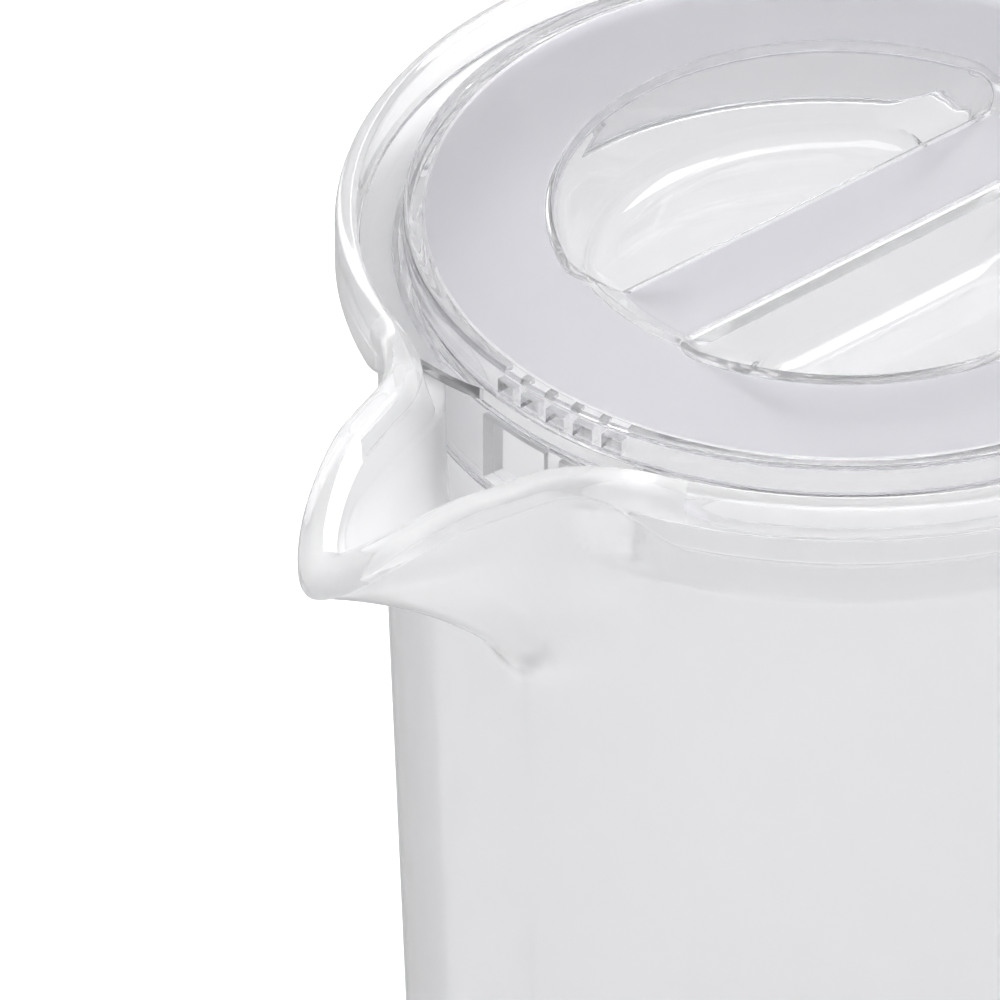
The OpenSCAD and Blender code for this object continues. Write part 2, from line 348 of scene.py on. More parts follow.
@dataclass(frozen=True)
class PaperFloor:
    """Matt white studio paper with a very fine tooth."""

    name: str = "white_paper"
    bright: tuple[float, float, float] = (0.93, 0.93, 0.93)
    dull: tuple[float, float, float] = (0.9, 0.9, 0.9)
    tooth_scale: float = 400.0
    roughness: float = 0.9
    sheen: float = 0.1

    def make(self) -> bpy.types.Material:
        """Builds the finish.

        Returns:
            The material.
        """
        material = bpy.data.materials.new(self.name)
        material.use_nodes = True
        nodes = material.node_tree.nodes
        links = material.node_tree.links
        shader = nodes["Principled BSDF"]
        shader.inputs["Roughness"].default_value = self.roughness
        shader.inputs["Specular IOR Level"].default_value = self.sheen
        tooth = nodes.new("ShaderNodeTexNoise")
        tooth.inputs["Scale"].default_value = self.tooth_scale
        colour = nodes.new("ShaderNodeValToRGB")
        colour.color_ramp.elements[0].color = (*self.dull, 1.0)
        colour.color_ramp.elements[1].color = (*self.bright, 1.0)
        links.new(tooth.outputs["Fac"], colour.inputs["Fac"])
        links.new(colour.outputs["Color"], shader.inputs["Base Color"])
        return material


@dataclass
class WallMap:
    """Radius of a wall by angle from the spout and depth below the rim, read smoothly between its steps."""

    radii: np.ndarray
    angle_step: float
    depth_step: float
    last_cell: float = 1.001

    def at(self, angle: np.ndarray, depth: np.ndarray) -> np.ndarray:
        """Reads the radius.

        Args:
            angle: Angles from the spout, in radians, either way.
            depth: Depths below the rim, of the same shape.

        Returns:
            The radii, of the same shape.
        """
        rows, columns = self.radii.shape
        across = np.clip(np.abs(angle) / self.angle_step, 0.0, columns - self.last_cell)
        down = np.clip(depth / self.depth_step, 0.0, rows - self.last_cell)
        i, j = down.astype(int), across.astype(int)
        s, t = down - i, across - j
        upper = self.radii[i, j] * (1.0 - t) + self.radii[i, j + 1] * t
        lower = self.radii[i + 1, j] * (1.0 - t) + self.radii[i + 1, j + 1] * t
        return upper * (1.0 - s) + lower * s


@dataclass
class Spout:
    """Wide pouring spout: its plan narrows to the tip, and its lip droops."""

    reach: float = 0.0963
    half_width: float = 0.0165
    root_deg: float = 21.5
    fillet: float = 0.0096
    fillet_share: float = 0.6
    fillet_power: float = 2.0
    lip_drop: float = 0.0085
    lip_start: float = 0.078
    lip_face: float = 0.002
    depth: float = 0.047
    plan_power: float = 1.3
    side_power: float = 0.55
    keel_power: float = 1.3
    narrow_power: float = 0.6
    narrow_least: float = 0.02
    droop_power: float = 1.5
    droop_most: float = 1.2
    least_reach: float = 0.00005
    least_half: float = 0.0005
    least_flare: float = 0.0001
    outline_points: int = 240

    def sink(self, depth: float) -> float:
        """How far a depth is from the lip, 0, to where the spout runs out, 1."""
        top = self.lip_drop + self.lip_face
        return min(1.0, max(0.0, (depth - top) / (self.depth - top)))

    def droop(self, reach: np.ndarray) -> np.ndarray:
        """Drop of the lip at distances from the jug's axis."""
        share = np.clip((reach - self.lip_start) / (self.reach - self.lip_start), 0.0, self.droop_most)
        return self.lip_drop * share ** self.droop_power

    def half_outline(self, depth: float, edge: float, inset: float, lift: float) -> np.ndarray:
        """Half of the spout's outline at one depth, seen from above.

        Args:
            depth: Depth below the rim.
            edge: Radius of the wall that the spout grows out of.
            inset: How far the outline is drawn in from the lip.
            lift: How far the floor is raised above the underside.

        Returns:
            Points as (distance along the spout, distance from its middle), from the root to the tip.
        """
        narrow = max(self.narrow_least, 1.0 - self.sink(depth) ** 2) ** self.narrow_power
        angle = math.radians(self.root_deg) * narrow
        root = edge * math.cos(angle)
        swept = (self.reach - root) * (1.0 - self.sink(depth + lift)) ** self.keel_power
        tip = root + max(self.least_reach, swept - inset)
        half = max(self.least_half, self.half_width * narrow - inset)
        root_half = max(half + self.least_flare, edge * math.sin(angle))
        fillet = min(self.fillet, self.fillet_share * (tip - root))
        t = np.linspace(0.0, 1.0, self.outline_points)
        along = root + (tip - root) * (1.0 - (1.0 - t) ** 2)
        share = (along - root) / (tip - root)
        side = half * np.maximum(0.0, 1.0 - share ** self.plan_power) ** self.side_power
        side += (root_half - half) * np.maximum(0.0, 1.0 - (along - root) / fillet) ** self.fillet_power
        return np.stack([along, side], axis=1)


@dataclass(frozen=True)
class EdgeShape:
    """Section of the jug's edge: a band that stands proud of the wall, a round and a sloped inner edge."""

    low: float
    under: float
    proud: float
    rounding: float
    width: float
    slope_w: float
    slope_h: float
    slope_power: float = 1.15
    sweep_rows: int = 9
    round_rows: int = 7
    face_rows: tuple[float, ...] = (0.15, 0.5, 0.85)

    def points(self) -> np.ndarray:
        """Points from the wall below the band over the top to the inner edge.

        Returns:
            Table of (in from the outer line, down from the top).
        """
        sweep = np.linspace(0.0, 1.0, self.sweep_rows)
        points = []
        for t in sweep:
            into = self.proud * 0.5 * (1.0 + math.cos(math.pi * t))
            points.append((into, self.low + self.under * (1.0 - t)))
        points += [(0.0, self.low + (self.rounding - self.low) * t) for t in self.face_rows]
        points += quarter(self.rounding, self.round_rows)
        top = self.width - self.slope_w
        points += [(top + self.slope_w * t, self.slope_h * t ** self.slope_power) for t in sweep]
        return np.array(points)


@dataclass
class JugBody(Moulding):
    """The jug: tapered wall, rim band, ledge for the lid and the spout, in one moulding."""

    node: ClassVar[str] = "jug_body"
    body: ClassVar[str] = "jug"
    slot: ClassVar[str] = "jug_plastic"
    finishes: ClassVar[tuple[ClearPlastic, ...]] = (JUG_CLEAR, JUG_SOFT)
    height: float = 0.205
    rim_r: float = 0.065
    rim_wall: float = 0.0028
    rim_band: float = 0.0082
    rim_round: float = 0.0022
    rim_under: float = 0.005
    rim_slope_w: float = 0.0008
    rim_slope_h: float = 0.0006
    lip_wall: float = 0.0049
    lip_slope_w: float = 0.0022
    lip_slope_h: float = 0.0019
    ledge_w: float = 0.0046
    ledge_depth: float = 0.0066
    ledge_edge: float = 0.0003
    ledge_lean: float = 0.0012
    ledge_across: tuple[float, ...] = (0.02, 0.09, 0.5, 0.9, 0.98, 1.0)
    ledge_fall: tuple[float, ...] = (-0.00008, 0.0, 0.0, 0.0, 0.0001, 0.0005)
    wall: float = 0.0026
    draft_deg: float = 1.7
    base_thick: float = 0.0034
    base_corner: float = 0.009
    floor_band: float = 0.001
    bead_h: float = 0.0042
    bead_under: float = 0.0016
    bead_proud: float = 0.0013
    bead_round: float = 0.0014
    channel_swell: float = 0.001
    channel_lift: float = 0.0024
    channel_step: float = 0.0035
    swell_depth: float = 0.03
    swell_start: float = 1.5
    spout_zone: float = 0.058
    zone_margin: float = 0.004
    outer_settle: float = 0.012
    collar_settle: float = 0.008
    inner_settle: float = 0.01
    map_reach_deg: float = 34.0
    map_angle: float = math.radians(0.125)
    map_depth: float = 0.00025
    map_arc_points: int = 160
    map_soft_across: float = 5.0
    map_soft_down: float = 4.0
    rim_points: int = 1600
    line_step: float = 0.0001
    line_soft: float = 9.0
    lip_step: float = 0.00042
    lip_beyond: float = 0.006
    lip_blend: float = 0.004
    lip_blend_run: float = 0.012
    arc_columns: int = 96
    arc_crowd: float = 1.6
    outer_rows_count: int = 46
    outer_crowd: float = 1.25
    inner_rows_count: int = 44
    inner_crowd: float = 1.2
    collar_rows: int = 6
    plain_rows: int = 8
    outer_corner_rows: int = 9
    inner_corner_rows: int = 8
    sharp_deg: float = 42.0
    spout: Spout = field(default_factory=Spout)

    def __post_init__(self) -> None:
        """Works out the radii that several pieces share."""
        self.taper = math.tan(math.radians(self.draft_deg))
        self.collar_r = self.rim_r - self.rim_wall
        self.mouth_r = self.collar_r - self.ledge_w

    def bore_r(self, depth: np.ndarray) -> np.ndarray:
        """Inner radius of the wall at depths below the rim."""
        return self.mouth_r - (depth - self.ledge_depth) * self.taper

    def wall_r(self, depth: np.ndarray) -> np.ndarray:
        """Outer radius of the wall at depths below the rim."""
        return self.bore_r(depth) + self.wall

    def wall_map(self, inside: bool, least: float) -> WallMap:
        """Maps the radius of the wall and spout by angle and depth.

        Args:
            inside: Whether to map the inner face.
            least: Radius that the face never comes inside of, such as the collar's.

        Returns:
            The map.
        """
        widest = math.radians(self.map_reach_deg)
        angles = np.arange(0.0, widest, self.map_angle)
        lift = self.channel_lift if inside else 0.0
        rows = []
        for depth in np.arange(0.0, self.spout_zone + self.zone_margin, self.map_depth):
            edge = float(self.wall_r(depth))
            plain = float(self.bore_r(depth)) if inside else edge
            spout = self.spout.half_outline(depth, edge, self.bead_proud, lift)
            start = math.atan2(spout[0, 1], spout[0, 0])
            arc = np.linspace(widest + start, start, self.map_arc_points)[:-1]
            outline = np.concatenate([edge * np.stack([np.cos(arc), np.sin(arc)], axis=1), spout])
            if inside:
                outline = self.thicken(outline, depth)
            turn = np.arctan2(outline[:, 1], outline[:, 0])
            radius = np.hypot(outline[:, 0], outline[:, 1])
            order = np.argsort(turn)
            row = np.interp(angles, turn[order], radius[order])
            rows.append(np.maximum(row, max(plain, least)))
        table = np.array(rows)
        mirrored = np.concatenate([table[:, :0:-1], table], axis=1)
        mirrored = blur(blur(mirrored, self.map_soft_across, 1), self.map_soft_down, 0)
        return WallMap(mirrored[:, table.shape[1] - 1:], self.map_angle, self.map_depth)

    def thicken(self, outline: np.ndarray, depth: float) -> np.ndarray:
        """Draws the wall's inner outline at an even thickness inside the outer one.

        Args:
            outline: Outer outline of one half, from the plain wall to the spout's tip.
            depth: Depth below the rim.

        Returns:
            The inner outline, as far as the spout's middle.
        """
        share = self.swell_start * (1.0 - depth / self.swell_depth)
        swell = self.channel_swell * float(ease(np.array(share)))
        ahead = np.gradient(outline, axis=0)
        ahead /= np.maximum(LEAST_LENGTH, np.linalg.norm(ahead, axis=1))[:, None]
        out = np.stack([-ahead[:, 1], ahead[:, 0]], axis=1)
        out *= np.sign(np.sum(out * outline, axis=1))[:, None]
        inner = outline - (self.wall + swell) * out
        return inner[inner[:, 1] >= 0.0]

    def lip_columns(self) -> tuple[np.ndarray, np.ndarray, np.ndarray]:
        """Stands columns round the rim, close together along the spout's lip.

        Returns:
            The rim's outer points in plan, its outward directions there, and how far each column belongs to
            the spout, from 0 to 1.
        """
        half = self.spout.half_outline(0.0, self.rim_r, 0.0, 0.0)
        root_turn = math.atan2(half[0, 1], half[0, 0])
        turns = np.linspace(math.pi, root_turn, self.rim_points)[:-1]
        arc = self.rim_r * np.stack([np.cos(turns), np.sin(turns)], axis=1)
        side = np.concatenate([arc, half])
        loop = np.concatenate([side, side[-2:0:-1] * [1.0, -1.0]])
        closed = np.concatenate([loop, loop[:1]])
        run = np.concatenate([[0.0], np.cumsum(np.hypot(*np.diff(closed, axis=0).T))])
        fine = np.arange(0.0, run[-1], self.line_step)
        curve = np.stack([np.interp(fine, run, closed[:, k]) for k in (0, 1)], axis=1)
        curve = blur(curve, self.line_soft, 0, wrap=True)
        ahead = np.roll(curve, -1, axis=0) - np.roll(curve, 1, axis=0)
        ahead /= np.linalg.norm(ahead, axis=1)[:, None]
        out = np.stack([ahead[:, 1], -ahead[:, 0]], axis=1)
        out *= np.sign(np.sum(out * curve, axis=1))[:, None]
        middle = run[-1] / 2.0
        root_run = middle - np.interp(len(arc), np.arange(len(run)), run)
        lip_end = root_run + self.lip_beyond
        beyond = np.linspace(0.0, 1.0, self.arc_columns + 1)[1:] ** self.arc_crowd
        from_tip = np.concatenate([
            np.arange(0.0, lip_end, self.lip_step),
            lip_end + (middle - lip_end) * beyond,
        ])
        stations = np.concatenate([middle - from_tip[::-1], middle + from_tip[1:-1]])
        index = np.clip(np.round(stations / self.line_step).astype(int), 0, len(fine) - 1)
        away = np.abs(stations - middle)
        share = ease((root_run + self.lip_blend - away) / self.lip_blend_run)
        return curve[index], out[index], share

    def rim_section(self, share: np.ndarray) -> tuple[np.ndarray, np.ndarray]:
        """Section of the rim, from the wall below its band over the top to its inner edge.

        Args:
            share: How far each column belongs to the spout.

        Returns:
            Tables of each point's distance in from the rim's outer line and of its depth below the top, one
            row for each point of the section.
        """
        band_proud = self.rim_r - float(self.wall_r(self.rim_band + self.rim_under))
        band = EdgeShape(self.rim_band, self.rim_under, band_proud, self.rim_round, self.rim_wall,
                         self.rim_slope_w, self.rim_slope_h).points()
        bead = EdgeShape(self.bead_h - self.bead_under, self.bead_under, self.bead_proud, self.bead_round,
                         self.lip_wall, self.lip_slope_w, self.lip_slope_h).points()
        mixed = band[:, None, :] * (1.0 - share)[None, :, None] + bead[:, None, :] * share[None, :, None]
        return mixed[..., 0], mixed[..., 1]

    def rim_rows(self) -> tuple[np.ndarray, np.ndarray]:
        """Rows of the rim and the spout's lip.

        Returns:
            Table of points as (along the spout, across it, depth below the rim), and each column's share of
            the spout.
        """
        line, out, share = self.lip_columns()
        into, down = self.rim_section(share)
        plan = line[None] - into[..., None] * out[None]
        depth = down + self.spout.droop(plan[..., 0])
        return np.concatenate([plan, depth[..., None]], axis=2), share

    def wall_rows(self, start: np.ndarray, face: WallMap, depths: np.ndarray, settle: float) -> np.ndarray:
        """Rows of a wall that starts at the rim's edge and settles onto its map.

        Args:
            start: The row that the wall starts from.
            face: Map of the wall's radius.
            depths: Table of depths, one row for each row of points.
            settle: Depth over which the wall settles onto the map.

        Returns:
            Table of points as (along the spout, across it, depth).
        """
        turn = np.arctan2(start[:, 1], start[:, 0])
        ray = np.stack([np.cos(turn), np.sin(turn)], axis=1)
        missed = np.hypot(start[:, 0], start[:, 1]) - face.at(turn, start[:, 2])
        fade = np.clip(1.0 - (depths - start[None, :, 2]) / settle, 0.0, 1.0) ** 2
        radius = face.at(np.broadcast_to(turn, depths.shape), depths) + missed[None] * fade
        plan = radius[..., None] * ray[None]
        return np.concatenate([plan, depths[..., None]], axis=2)

    def zone_depths(self, start: np.ndarray, count: int, crowd: float) -> np.ndarray:
        """Depths of rows from a starting row to the end of the spout's zone, crowded towards the start."""
        t = np.linspace(0.0, 1.0, count)[1:, None] ** crowd
        return start[None, :, 2] * (1.0 - t) + self.spout_zone * t

    def foot_rows(self, start: np.ndarray, inside: bool) -> np.ndarray:
        """Rows below the spout's zone, down the plain wall and round the corner to the edge of the floor.

        Args:
            start: The row that gives the columns' angles.
            inside: Whether to draw the inner face.

        Returns:
            Table of points as (along the spout, across it, depth).
        """
        turn = np.arctan2(start[:, 1], start[:, 0])
        face = self.bore_r if inside else self.wall_r
        corner = self.base_corner - self.wall if inside else self.base_corner
        floor = self.height - self.base_thick if inside else self.height
        steps = self.inner_corner_rows if inside else self.outer_corner_rows
        low = floor - corner
        corner_r = float(face(low)) - corner
        plain = [(float(face(d)), d) for d in np.linspace(self.spout_zone, low, self.plain_rows)[1:]]
        for into, down in quarter(corner, steps)[1:]:
            plain.append((corner_r + corner - into, low + corner - down))
        plain.append((corner_r - self.floor_band, floor))
        return np.array([[(r * math.cos(a), r * math.sin(a), d) for a in turn] for r, d in plain])

    def outer_rows(self, start: np.ndarray) -> np.ndarray:
        """Rows of the outer face, from the edge of the bottom up to the rim.

        Args:
            start: The rim's lowest row, which the face hangs from.

        Returns:
            Table of points as (along the spout, across it, depth).
        """
        depths = self.zone_depths(start, self.outer_rows_count, self.outer_crowd)
        rows = self.wall_rows(start, self.wall_map(False, 0.0), depths, self.outer_settle)
        return np.concatenate([rows, self.foot_rows(start, False)])[::-1]

    def inner_rows(self, start: np.ndarray) -> np.ndarray:
        """Rows of the inner face, from the rim's inner edge over the ledge to the edge of the floor.

        Args:
            start: The rim's inner edge.

        Returns:
            Table of points as (along the spout, across it, depth).
        """
        above = self.wall_map(True, self.collar_r)
        below = self.wall_map(True, 0.0)
        turn = np.arctan2(start[:, 1], start[:, 0])
        ray = np.stack([np.cos(turn), np.sin(turn)], axis=1)
        ledge = np.full(len(turn), self.ledge_depth)
        channel = below.at(turn, ledge)
        gone = ease((channel - self.mouth_r) / (self.collar_r - self.mouth_r))
        ledge = ledge * (1.0 - gone) + np.maximum(ledge, start[:, 2] + self.channel_step) * gone
        t = np.linspace(0.0, 1.0, self.collar_rows + 1)[1:, None]
        depths = start[None, :, 2] * (1.0 - t) + (ledge - self.ledge_edge)[None] * t
        rows = [self.wall_rows(start, above, depths, self.collar_settle)]
        held = np.hypot(rows[0][-1][:, 0], rows[0][-1][:, 1])
        for across, fall in zip(self.ledge_across, self.ledge_fall):
            depth = ledge + fall + gone * self.ledge_lean * across
            radius = held * (1.0 - across) + below.at(turn, depth) * across
            rows.append(np.concatenate([radius[:, None] * ray, depth[:, None]], axis=1)[None])
        last = rows[-1][0]
        depths = self.zone_depths(last, self.inner_rows_count, self.inner_crowd)
        rows.append(self.wall_rows(last, below, depths, self.inner_settle))
        rows.append(self.foot_rows(start, True))
        return np.concatenate(rows)

    def build(self) -> bpy.types.Object:
        """Draws the jug, clear at its rim and lip and softer on its walls.

        Returns:
            The jug's object.
        """
        rim, share = self.rim_rows()
        outer, inner = self.outer_rows(rim[0]), self.inner_rows(rim[-1])
        rows = np.concatenate([outer, rim, inner])
        points = np.stack([-rows[..., 0], rows[..., 1], self.height - rows[..., 2]], axis=2)
        draft = MeshDraft("clear_jug")
        numbers = draft.add(points)
        first, edge = len(outer), len(outer) + len(rim) - 1
        last = edge + self.collar_rows
        draft.skin(numbers[first:edge + 1])
        collar = [Finish.SOFT if part > 0.0 else Finish.CLEAR for part in share]
        draft.skin(numbers[edge:last + 1], finishes=collar)
        draft.finish = Finish.SOFT
        draft.skin(numbers[:first + 1])
        draft.skin(numbers[last:])
        draft.cap(numbers[0])
        draft.cap(numbers[-1])
        return draft.build(self.sharp_deg)


@dataclass
class Handle(Moulding):
    """Looped handle: a flat round-edged bar that spreads where it is welded to the wall."""

    node: ClassVar[str] = "handle"
    body: ClassVar[str] = "jug"
    slot: ClassVar[str] = "jug_plastic"
    finishes: ClassVar[tuple[ClearPlastic, ...]] = (HANDLE_CLEAR,)
    jug: JugBody
    drop: float = 0.025
    foot: float = 0.066
    reach: float = 0.106
    width: float = 0.022
    thick: float = 0.009
    upper_bend: float = 0.022
    lower_bend: float = 0.032
    spread: float = 0.004
    spread_run: float = 0.0075
    sink: float = 0.0001
    side_power: float = 0.62
    face_power: float = 0.8
    weld_run: float = 0.01
    bend_lead: float = 0.002
    level: float = 1e-6
    section_points: int = 56
    weld_rows: int = 15
    upper_rows: int = 18
    grip_rows: int = 8
    lower_rows: int = 22
    weld_rings: tuple[float, ...] = (0.75, 0.5, 0.25)
    sharp_deg: float = 50.0

    def __post_init__(self) -> None:
        """Works out how far below the rim the lower weld lies."""
        self.low_drop = self.jug.height - self.foot

    def section(self, grow: float) -> np.ndarray:
        """Outline of the bar.

        Args:
            grow: How far it is grown on every side.

        Returns:
            Points as (across, through the bar's thickness).
        """
        turn = np.linspace(0.0, 2.0 * math.pi, self.section_points, endpoint=False)
        half_w, half_t = self.width / 2.0 + grow, self.thick / 2.0 + grow
        across = np.sign(np.cos(turn)) * np.abs(np.cos(turn)) ** self.side_power * half_w
        through = np.sign(np.sin(turn)) * np.abs(np.sin(turn)) ** self.face_power * half_t
        return np.stack([across, through], axis=1)

    def arm(self, drop: float, bend: float) -> np.ndarray:
        """Rows of a level arm, from its weld to just before its bend.

        Args:
            drop: How far below the rim the arm lies.
            bend: Radius of its bend.

        Returns:
            The rows' distances from the jug's axis, rising.
        """
        close = float(self.jug.wall_r(drop)) + np.linspace(0.0, self.weld_run, self.weld_rows)
        return np.append(close, self.reach - bend - self.bend_lead)

    def path(self) -> np.ndarray:
        """Middle line of the bar from the upper weld to the lower one.

        Returns:
            Points as (out, up, direction angle).
        """
        top, low = self.jug.height - self.drop, self.foot
        down = math.pi / 2.0
        points = [(x, top, 0.0) for x in self.arm(self.drop, self.upper_bend)]
        for t in np.linspace(0.0, down, self.upper_rows):
            out = self.reach - self.upper_bend + self.upper_bend * math.sin(t)
            points.append((out, top - self.upper_bend * (1.0 - math.cos(t)), -t))
        grip = np.linspace(top - self.upper_bend, low + self.lower_bend, self.grip_rows)[1:-1]
        points += [(self.reach, z, -down) for z in grip]
        for t in np.linspace(0.0, down, self.lower_rows):
            out = self.reach - self.lower_bend * (1.0 - math.cos(t))
            points.append((out, low + self.lower_bend * (1.0 - math.sin(t)), -down - t))
        points += [(x, low, -math.pi) for x in self.arm(self.low_drop, self.lower_bend)[::-1]]
        return np.array(points)

    def wall_x(self, y: np.ndarray, z: np.ndarray) -> np.ndarray:
        """How far out the welds end in the jug's wall, at places across it and heights."""
        radius = self.jug.wall_r(self.jug.height - z) - self.sink
        return np.sqrt(radius ** 2 - y ** 2)

    def build(self) -> bpy.types.Object:
        """Draws the handle.

        Returns:
            The handle's object.
        """
        rings = []
        path = self.path()
        for index, (out, up, turn) in enumerate(path):
            weld = float(self.jug.wall_r(self.drop if index < len(path) / 2 else self.low_drop))
            on_arm = abs(math.sin(turn)) < self.level
            near = max(0.0, 1.0 - (out - weld) / self.spread_run) if on_arm else 0.0
            shape = self.section(self.spread * (1.0 - math.sqrt(max(0.0, 1.0 - near ** 2))))
            x = out - shape[:, 1] * math.sin(turn)
            y = shape[:, 0]
            z = up + shape[:, 1] * math.cos(turn)
            if near > 0.0:
                x = x - near * (weld - self.wall_x(y, z))
            rings.append(np.stack([x, y, z], axis=1))
        draft = MeshDraft("clear_handle")
        numbers = draft.add(np.array(rings))
        draft.skin(numbers)
        for ring, drop in ((numbers[0], self.drop), (numbers[-1], self.low_drop)):
            self.close_weld(draft, ring, drop)
        return draft.build(self.sharp_deg)

    def close_weld(self, draft: MeshDraft, ring: np.ndarray, drop: float) -> None:
        """Closes an end of the bar with a face that follows the jug's round wall.

        Args:
            draft: The handle's draft.
            ring: Point numbers of the end's outline.
            drop: How far below the rim the weld's middle lies.
        """
        places = draft.places()[ring]
        middle_z = self.jug.height - drop
        rows = [ring]
        for share in self.weld_rings:
            y = places[:, 1] * share
            z = middle_z + (places[:, 2] - middle_z) * share
            rows.append(draft.add(np.stack([self.wall_x(y, z), y, z], axis=1)))
        draft.skin(np.array(rows))
        draft.cap(rows[-1])


@dataclass
class Opening:
    """A window through a turned wall, between two columns."""

    first: int
    last: int
    outer_row: int
    inner_row: int


class TurnedShell:
    """A section turned about the jug's axis, whose wall can have windows and whose flange a gap."""

    def __init__(self, draft: MeshDraft, section: list[tuple[float, float]], turns: np.ndarray,
                 share: np.ndarray | None = None) -> None:
        """Turns the section.

        Args:
            draft: Draft that takes the points and faces.
            section: Points of the section as (radius, height). The second lies on the wall that carries a
                flange, where there is one.
            turns: Angles of the columns, in radians, rising.
            share: How far a flange stands out at each column, or None where there is none.
        """
        self.draft = draft
        self.section = section
        self.turns = turns
        points = np.array(section)
        radius = np.repeat(points[:, :1], len(turns), axis=1)
        if share is not None:
            wall = points[1, 0]
            radius = np.where(radius > wall, wall + (radius - wall) * share, radius)
        height = np.repeat(points[:, 1:], len(turns), axis=1)
        self.rows = draft.add(np.stack([radius * np.cos(turns), radius * np.sin(turns), height], axis=2))
        self.bare: set[tuple[int, int]] = set()

    def column(self, turn: float) -> int:
        """The column nearest to an angle in radians."""
        return int(np.argmin(np.abs(self.turns - turn)))

    def row(self, radius: float, height: float) -> int:
        """The row that one point of the section makes."""
        return self.section.index((radius, height))

    def cut(self, window: Opening, lining: Finish) -> None:
        """Cuts a window and lines it.

        Args:
            window: The window. Its outer and inner rows are where the section reaches it on either side.
            lining: Finish of the cut edges.
        """
        rows, face = self.rows, self.draft.face
        i, j = window.outer_row, window.inner_row
        self.draft.finish = lining
        for c in range(window.first, window.last):
            self.bare.update({(i, c), (j, c)})
            face(rows[i, c], rows[i, c + 1], rows[j + 1, c + 1], rows[j + 1, c])
            face(rows[i + 1, c], rows[i + 1, c + 1], rows[j, c + 1], rows[j, c])
        for c in (window.first, window.last):
            face(rows[i, c], rows[i + 1, c], rows[j, c], rows[j + 1, c])

    def notch(self, first: int, last: int, low: int, high: int) -> None:
        """Cuts a flange back to the wall that carries it.

        Args:
            first: First column of the cut.
            last: Last column of the cut.
            low: Row where the flange leaves the wall.
            high: Row where it comes back.
        """
        rows, face = self.rows, self.draft.face
        self.draft.finish = Finish.CUT
        for c in range(first, last):
            self.bare.update((row, c) for row in range(low, high))
            face(rows[low, c], rows[low, c + 1], rows[high, c + 1], rows[high, c])
        for c in (first, last):
            face(*rows[low:high + 1, c])

    def close(self, loop: bool) -> None:
        """Covers everything that isn't cut away.

        Args:
            loop: Whether the section's last point joins its first.
        """
        rows = self.rows
        count, columns = rows.shape
        self.draft.finish = Finish.CLEAR
        for i in range(count if loop else count - 1):
            lower = (i + 1) % count
            for c in range(columns):
                d = (c + 1) % columns
                if (i, c) not in self.bare:
                    self.draft.face(rows[i, c], rows[i, d], rows[lower, d], rows[lower, c])


@dataclass
class LidFit:
    """Levels and radii that the lid's two pieces and the jug's mouth share."""

    jug: JugBody
    flange_t: float = 0.0018
    skirt_depth: float = 0.014
    ring_wall: float = 0.0015
    window_turn_deg: float = 3.5
    window_half_deg: float = 12.8
    window_head: float = 0.0022
    window_sill: float = 0.002
    seat_gap: float = 0.0001
    flange_gap: float = 0.00035
    skirt_gap: float = 0.00035
    turn_clear: float = 0.00008
    turn_gap: float = 0.00005
    snap_out: float = 0.0004
    snap_h: float = 0.0008
    snap_drop: float = 0.0026
    snap_clear: float = 0.0001
    coarse_deg: float = 2.0
    beside_deg: float = 2.0
    mark_room: float = 0.45

    def __post_init__(self) -> None:
        """Works out the levels and radii."""
        self.z_ledge = self.jug.height - self.jug.ledge_depth
        self.z_skirt = self.z_ledge - self.skirt_depth
        self.z_flange = self.z_ledge + self.seat_gap
        self.z_ring_top = self.z_flange + self.flange_t
        self.r_skirt = float(self.jug.bore_r(self.jug.height - self.z_skirt)) - self.skirt_gap
        self.r_ring_bore = self.r_skirt - self.ring_wall
        self.r_flange = self.jug.collar_r - self.flange_gap
        self.r_spigot = self.r_ring_bore - self.turn_clear
        self.z_snap = self.z_ring_top - self.snap_drop
        self.z_seat = self.z_ring_top + self.turn_gap
        self.z_head = self.z_flange - self.window_head
        self.z_sill = self.z_skirt + self.window_sill
        self.window_at = math.radians(180.0 + self.window_turn_deg)
        self.window_half = math.radians(self.window_half_deg)

    def columns(self, marks: list[float], fine_deg: float) -> np.ndarray:
        """Angles of a turned piece's columns, closer together round the pouring window.

        Args:
            marks: Angles that a column must stand on, in radians.
            fine_deg: Spacing round the window.

        Returns:
            Rising angles in radians, from 0 to a full turn.
        """
        beside = math.radians(self.beside_deg)
        low = self.window_at - self.window_half - beside
        high = self.window_at + self.window_half + beside
        coarse = np.arange(0.0, 360.0, self.coarse_deg) * math.pi / 180.0
        coarse = coarse[(coarse < low) | (coarse > high)]
        fine = np.arange(low, high, math.radians(fine_deg))
        room = math.radians(fine_deg) * self.mark_room
        free = [a for a in np.concatenate([coarse, fine]) if min(abs(a - m) for m in marks) > room]
        return np.array(sorted(free + list(marks)))


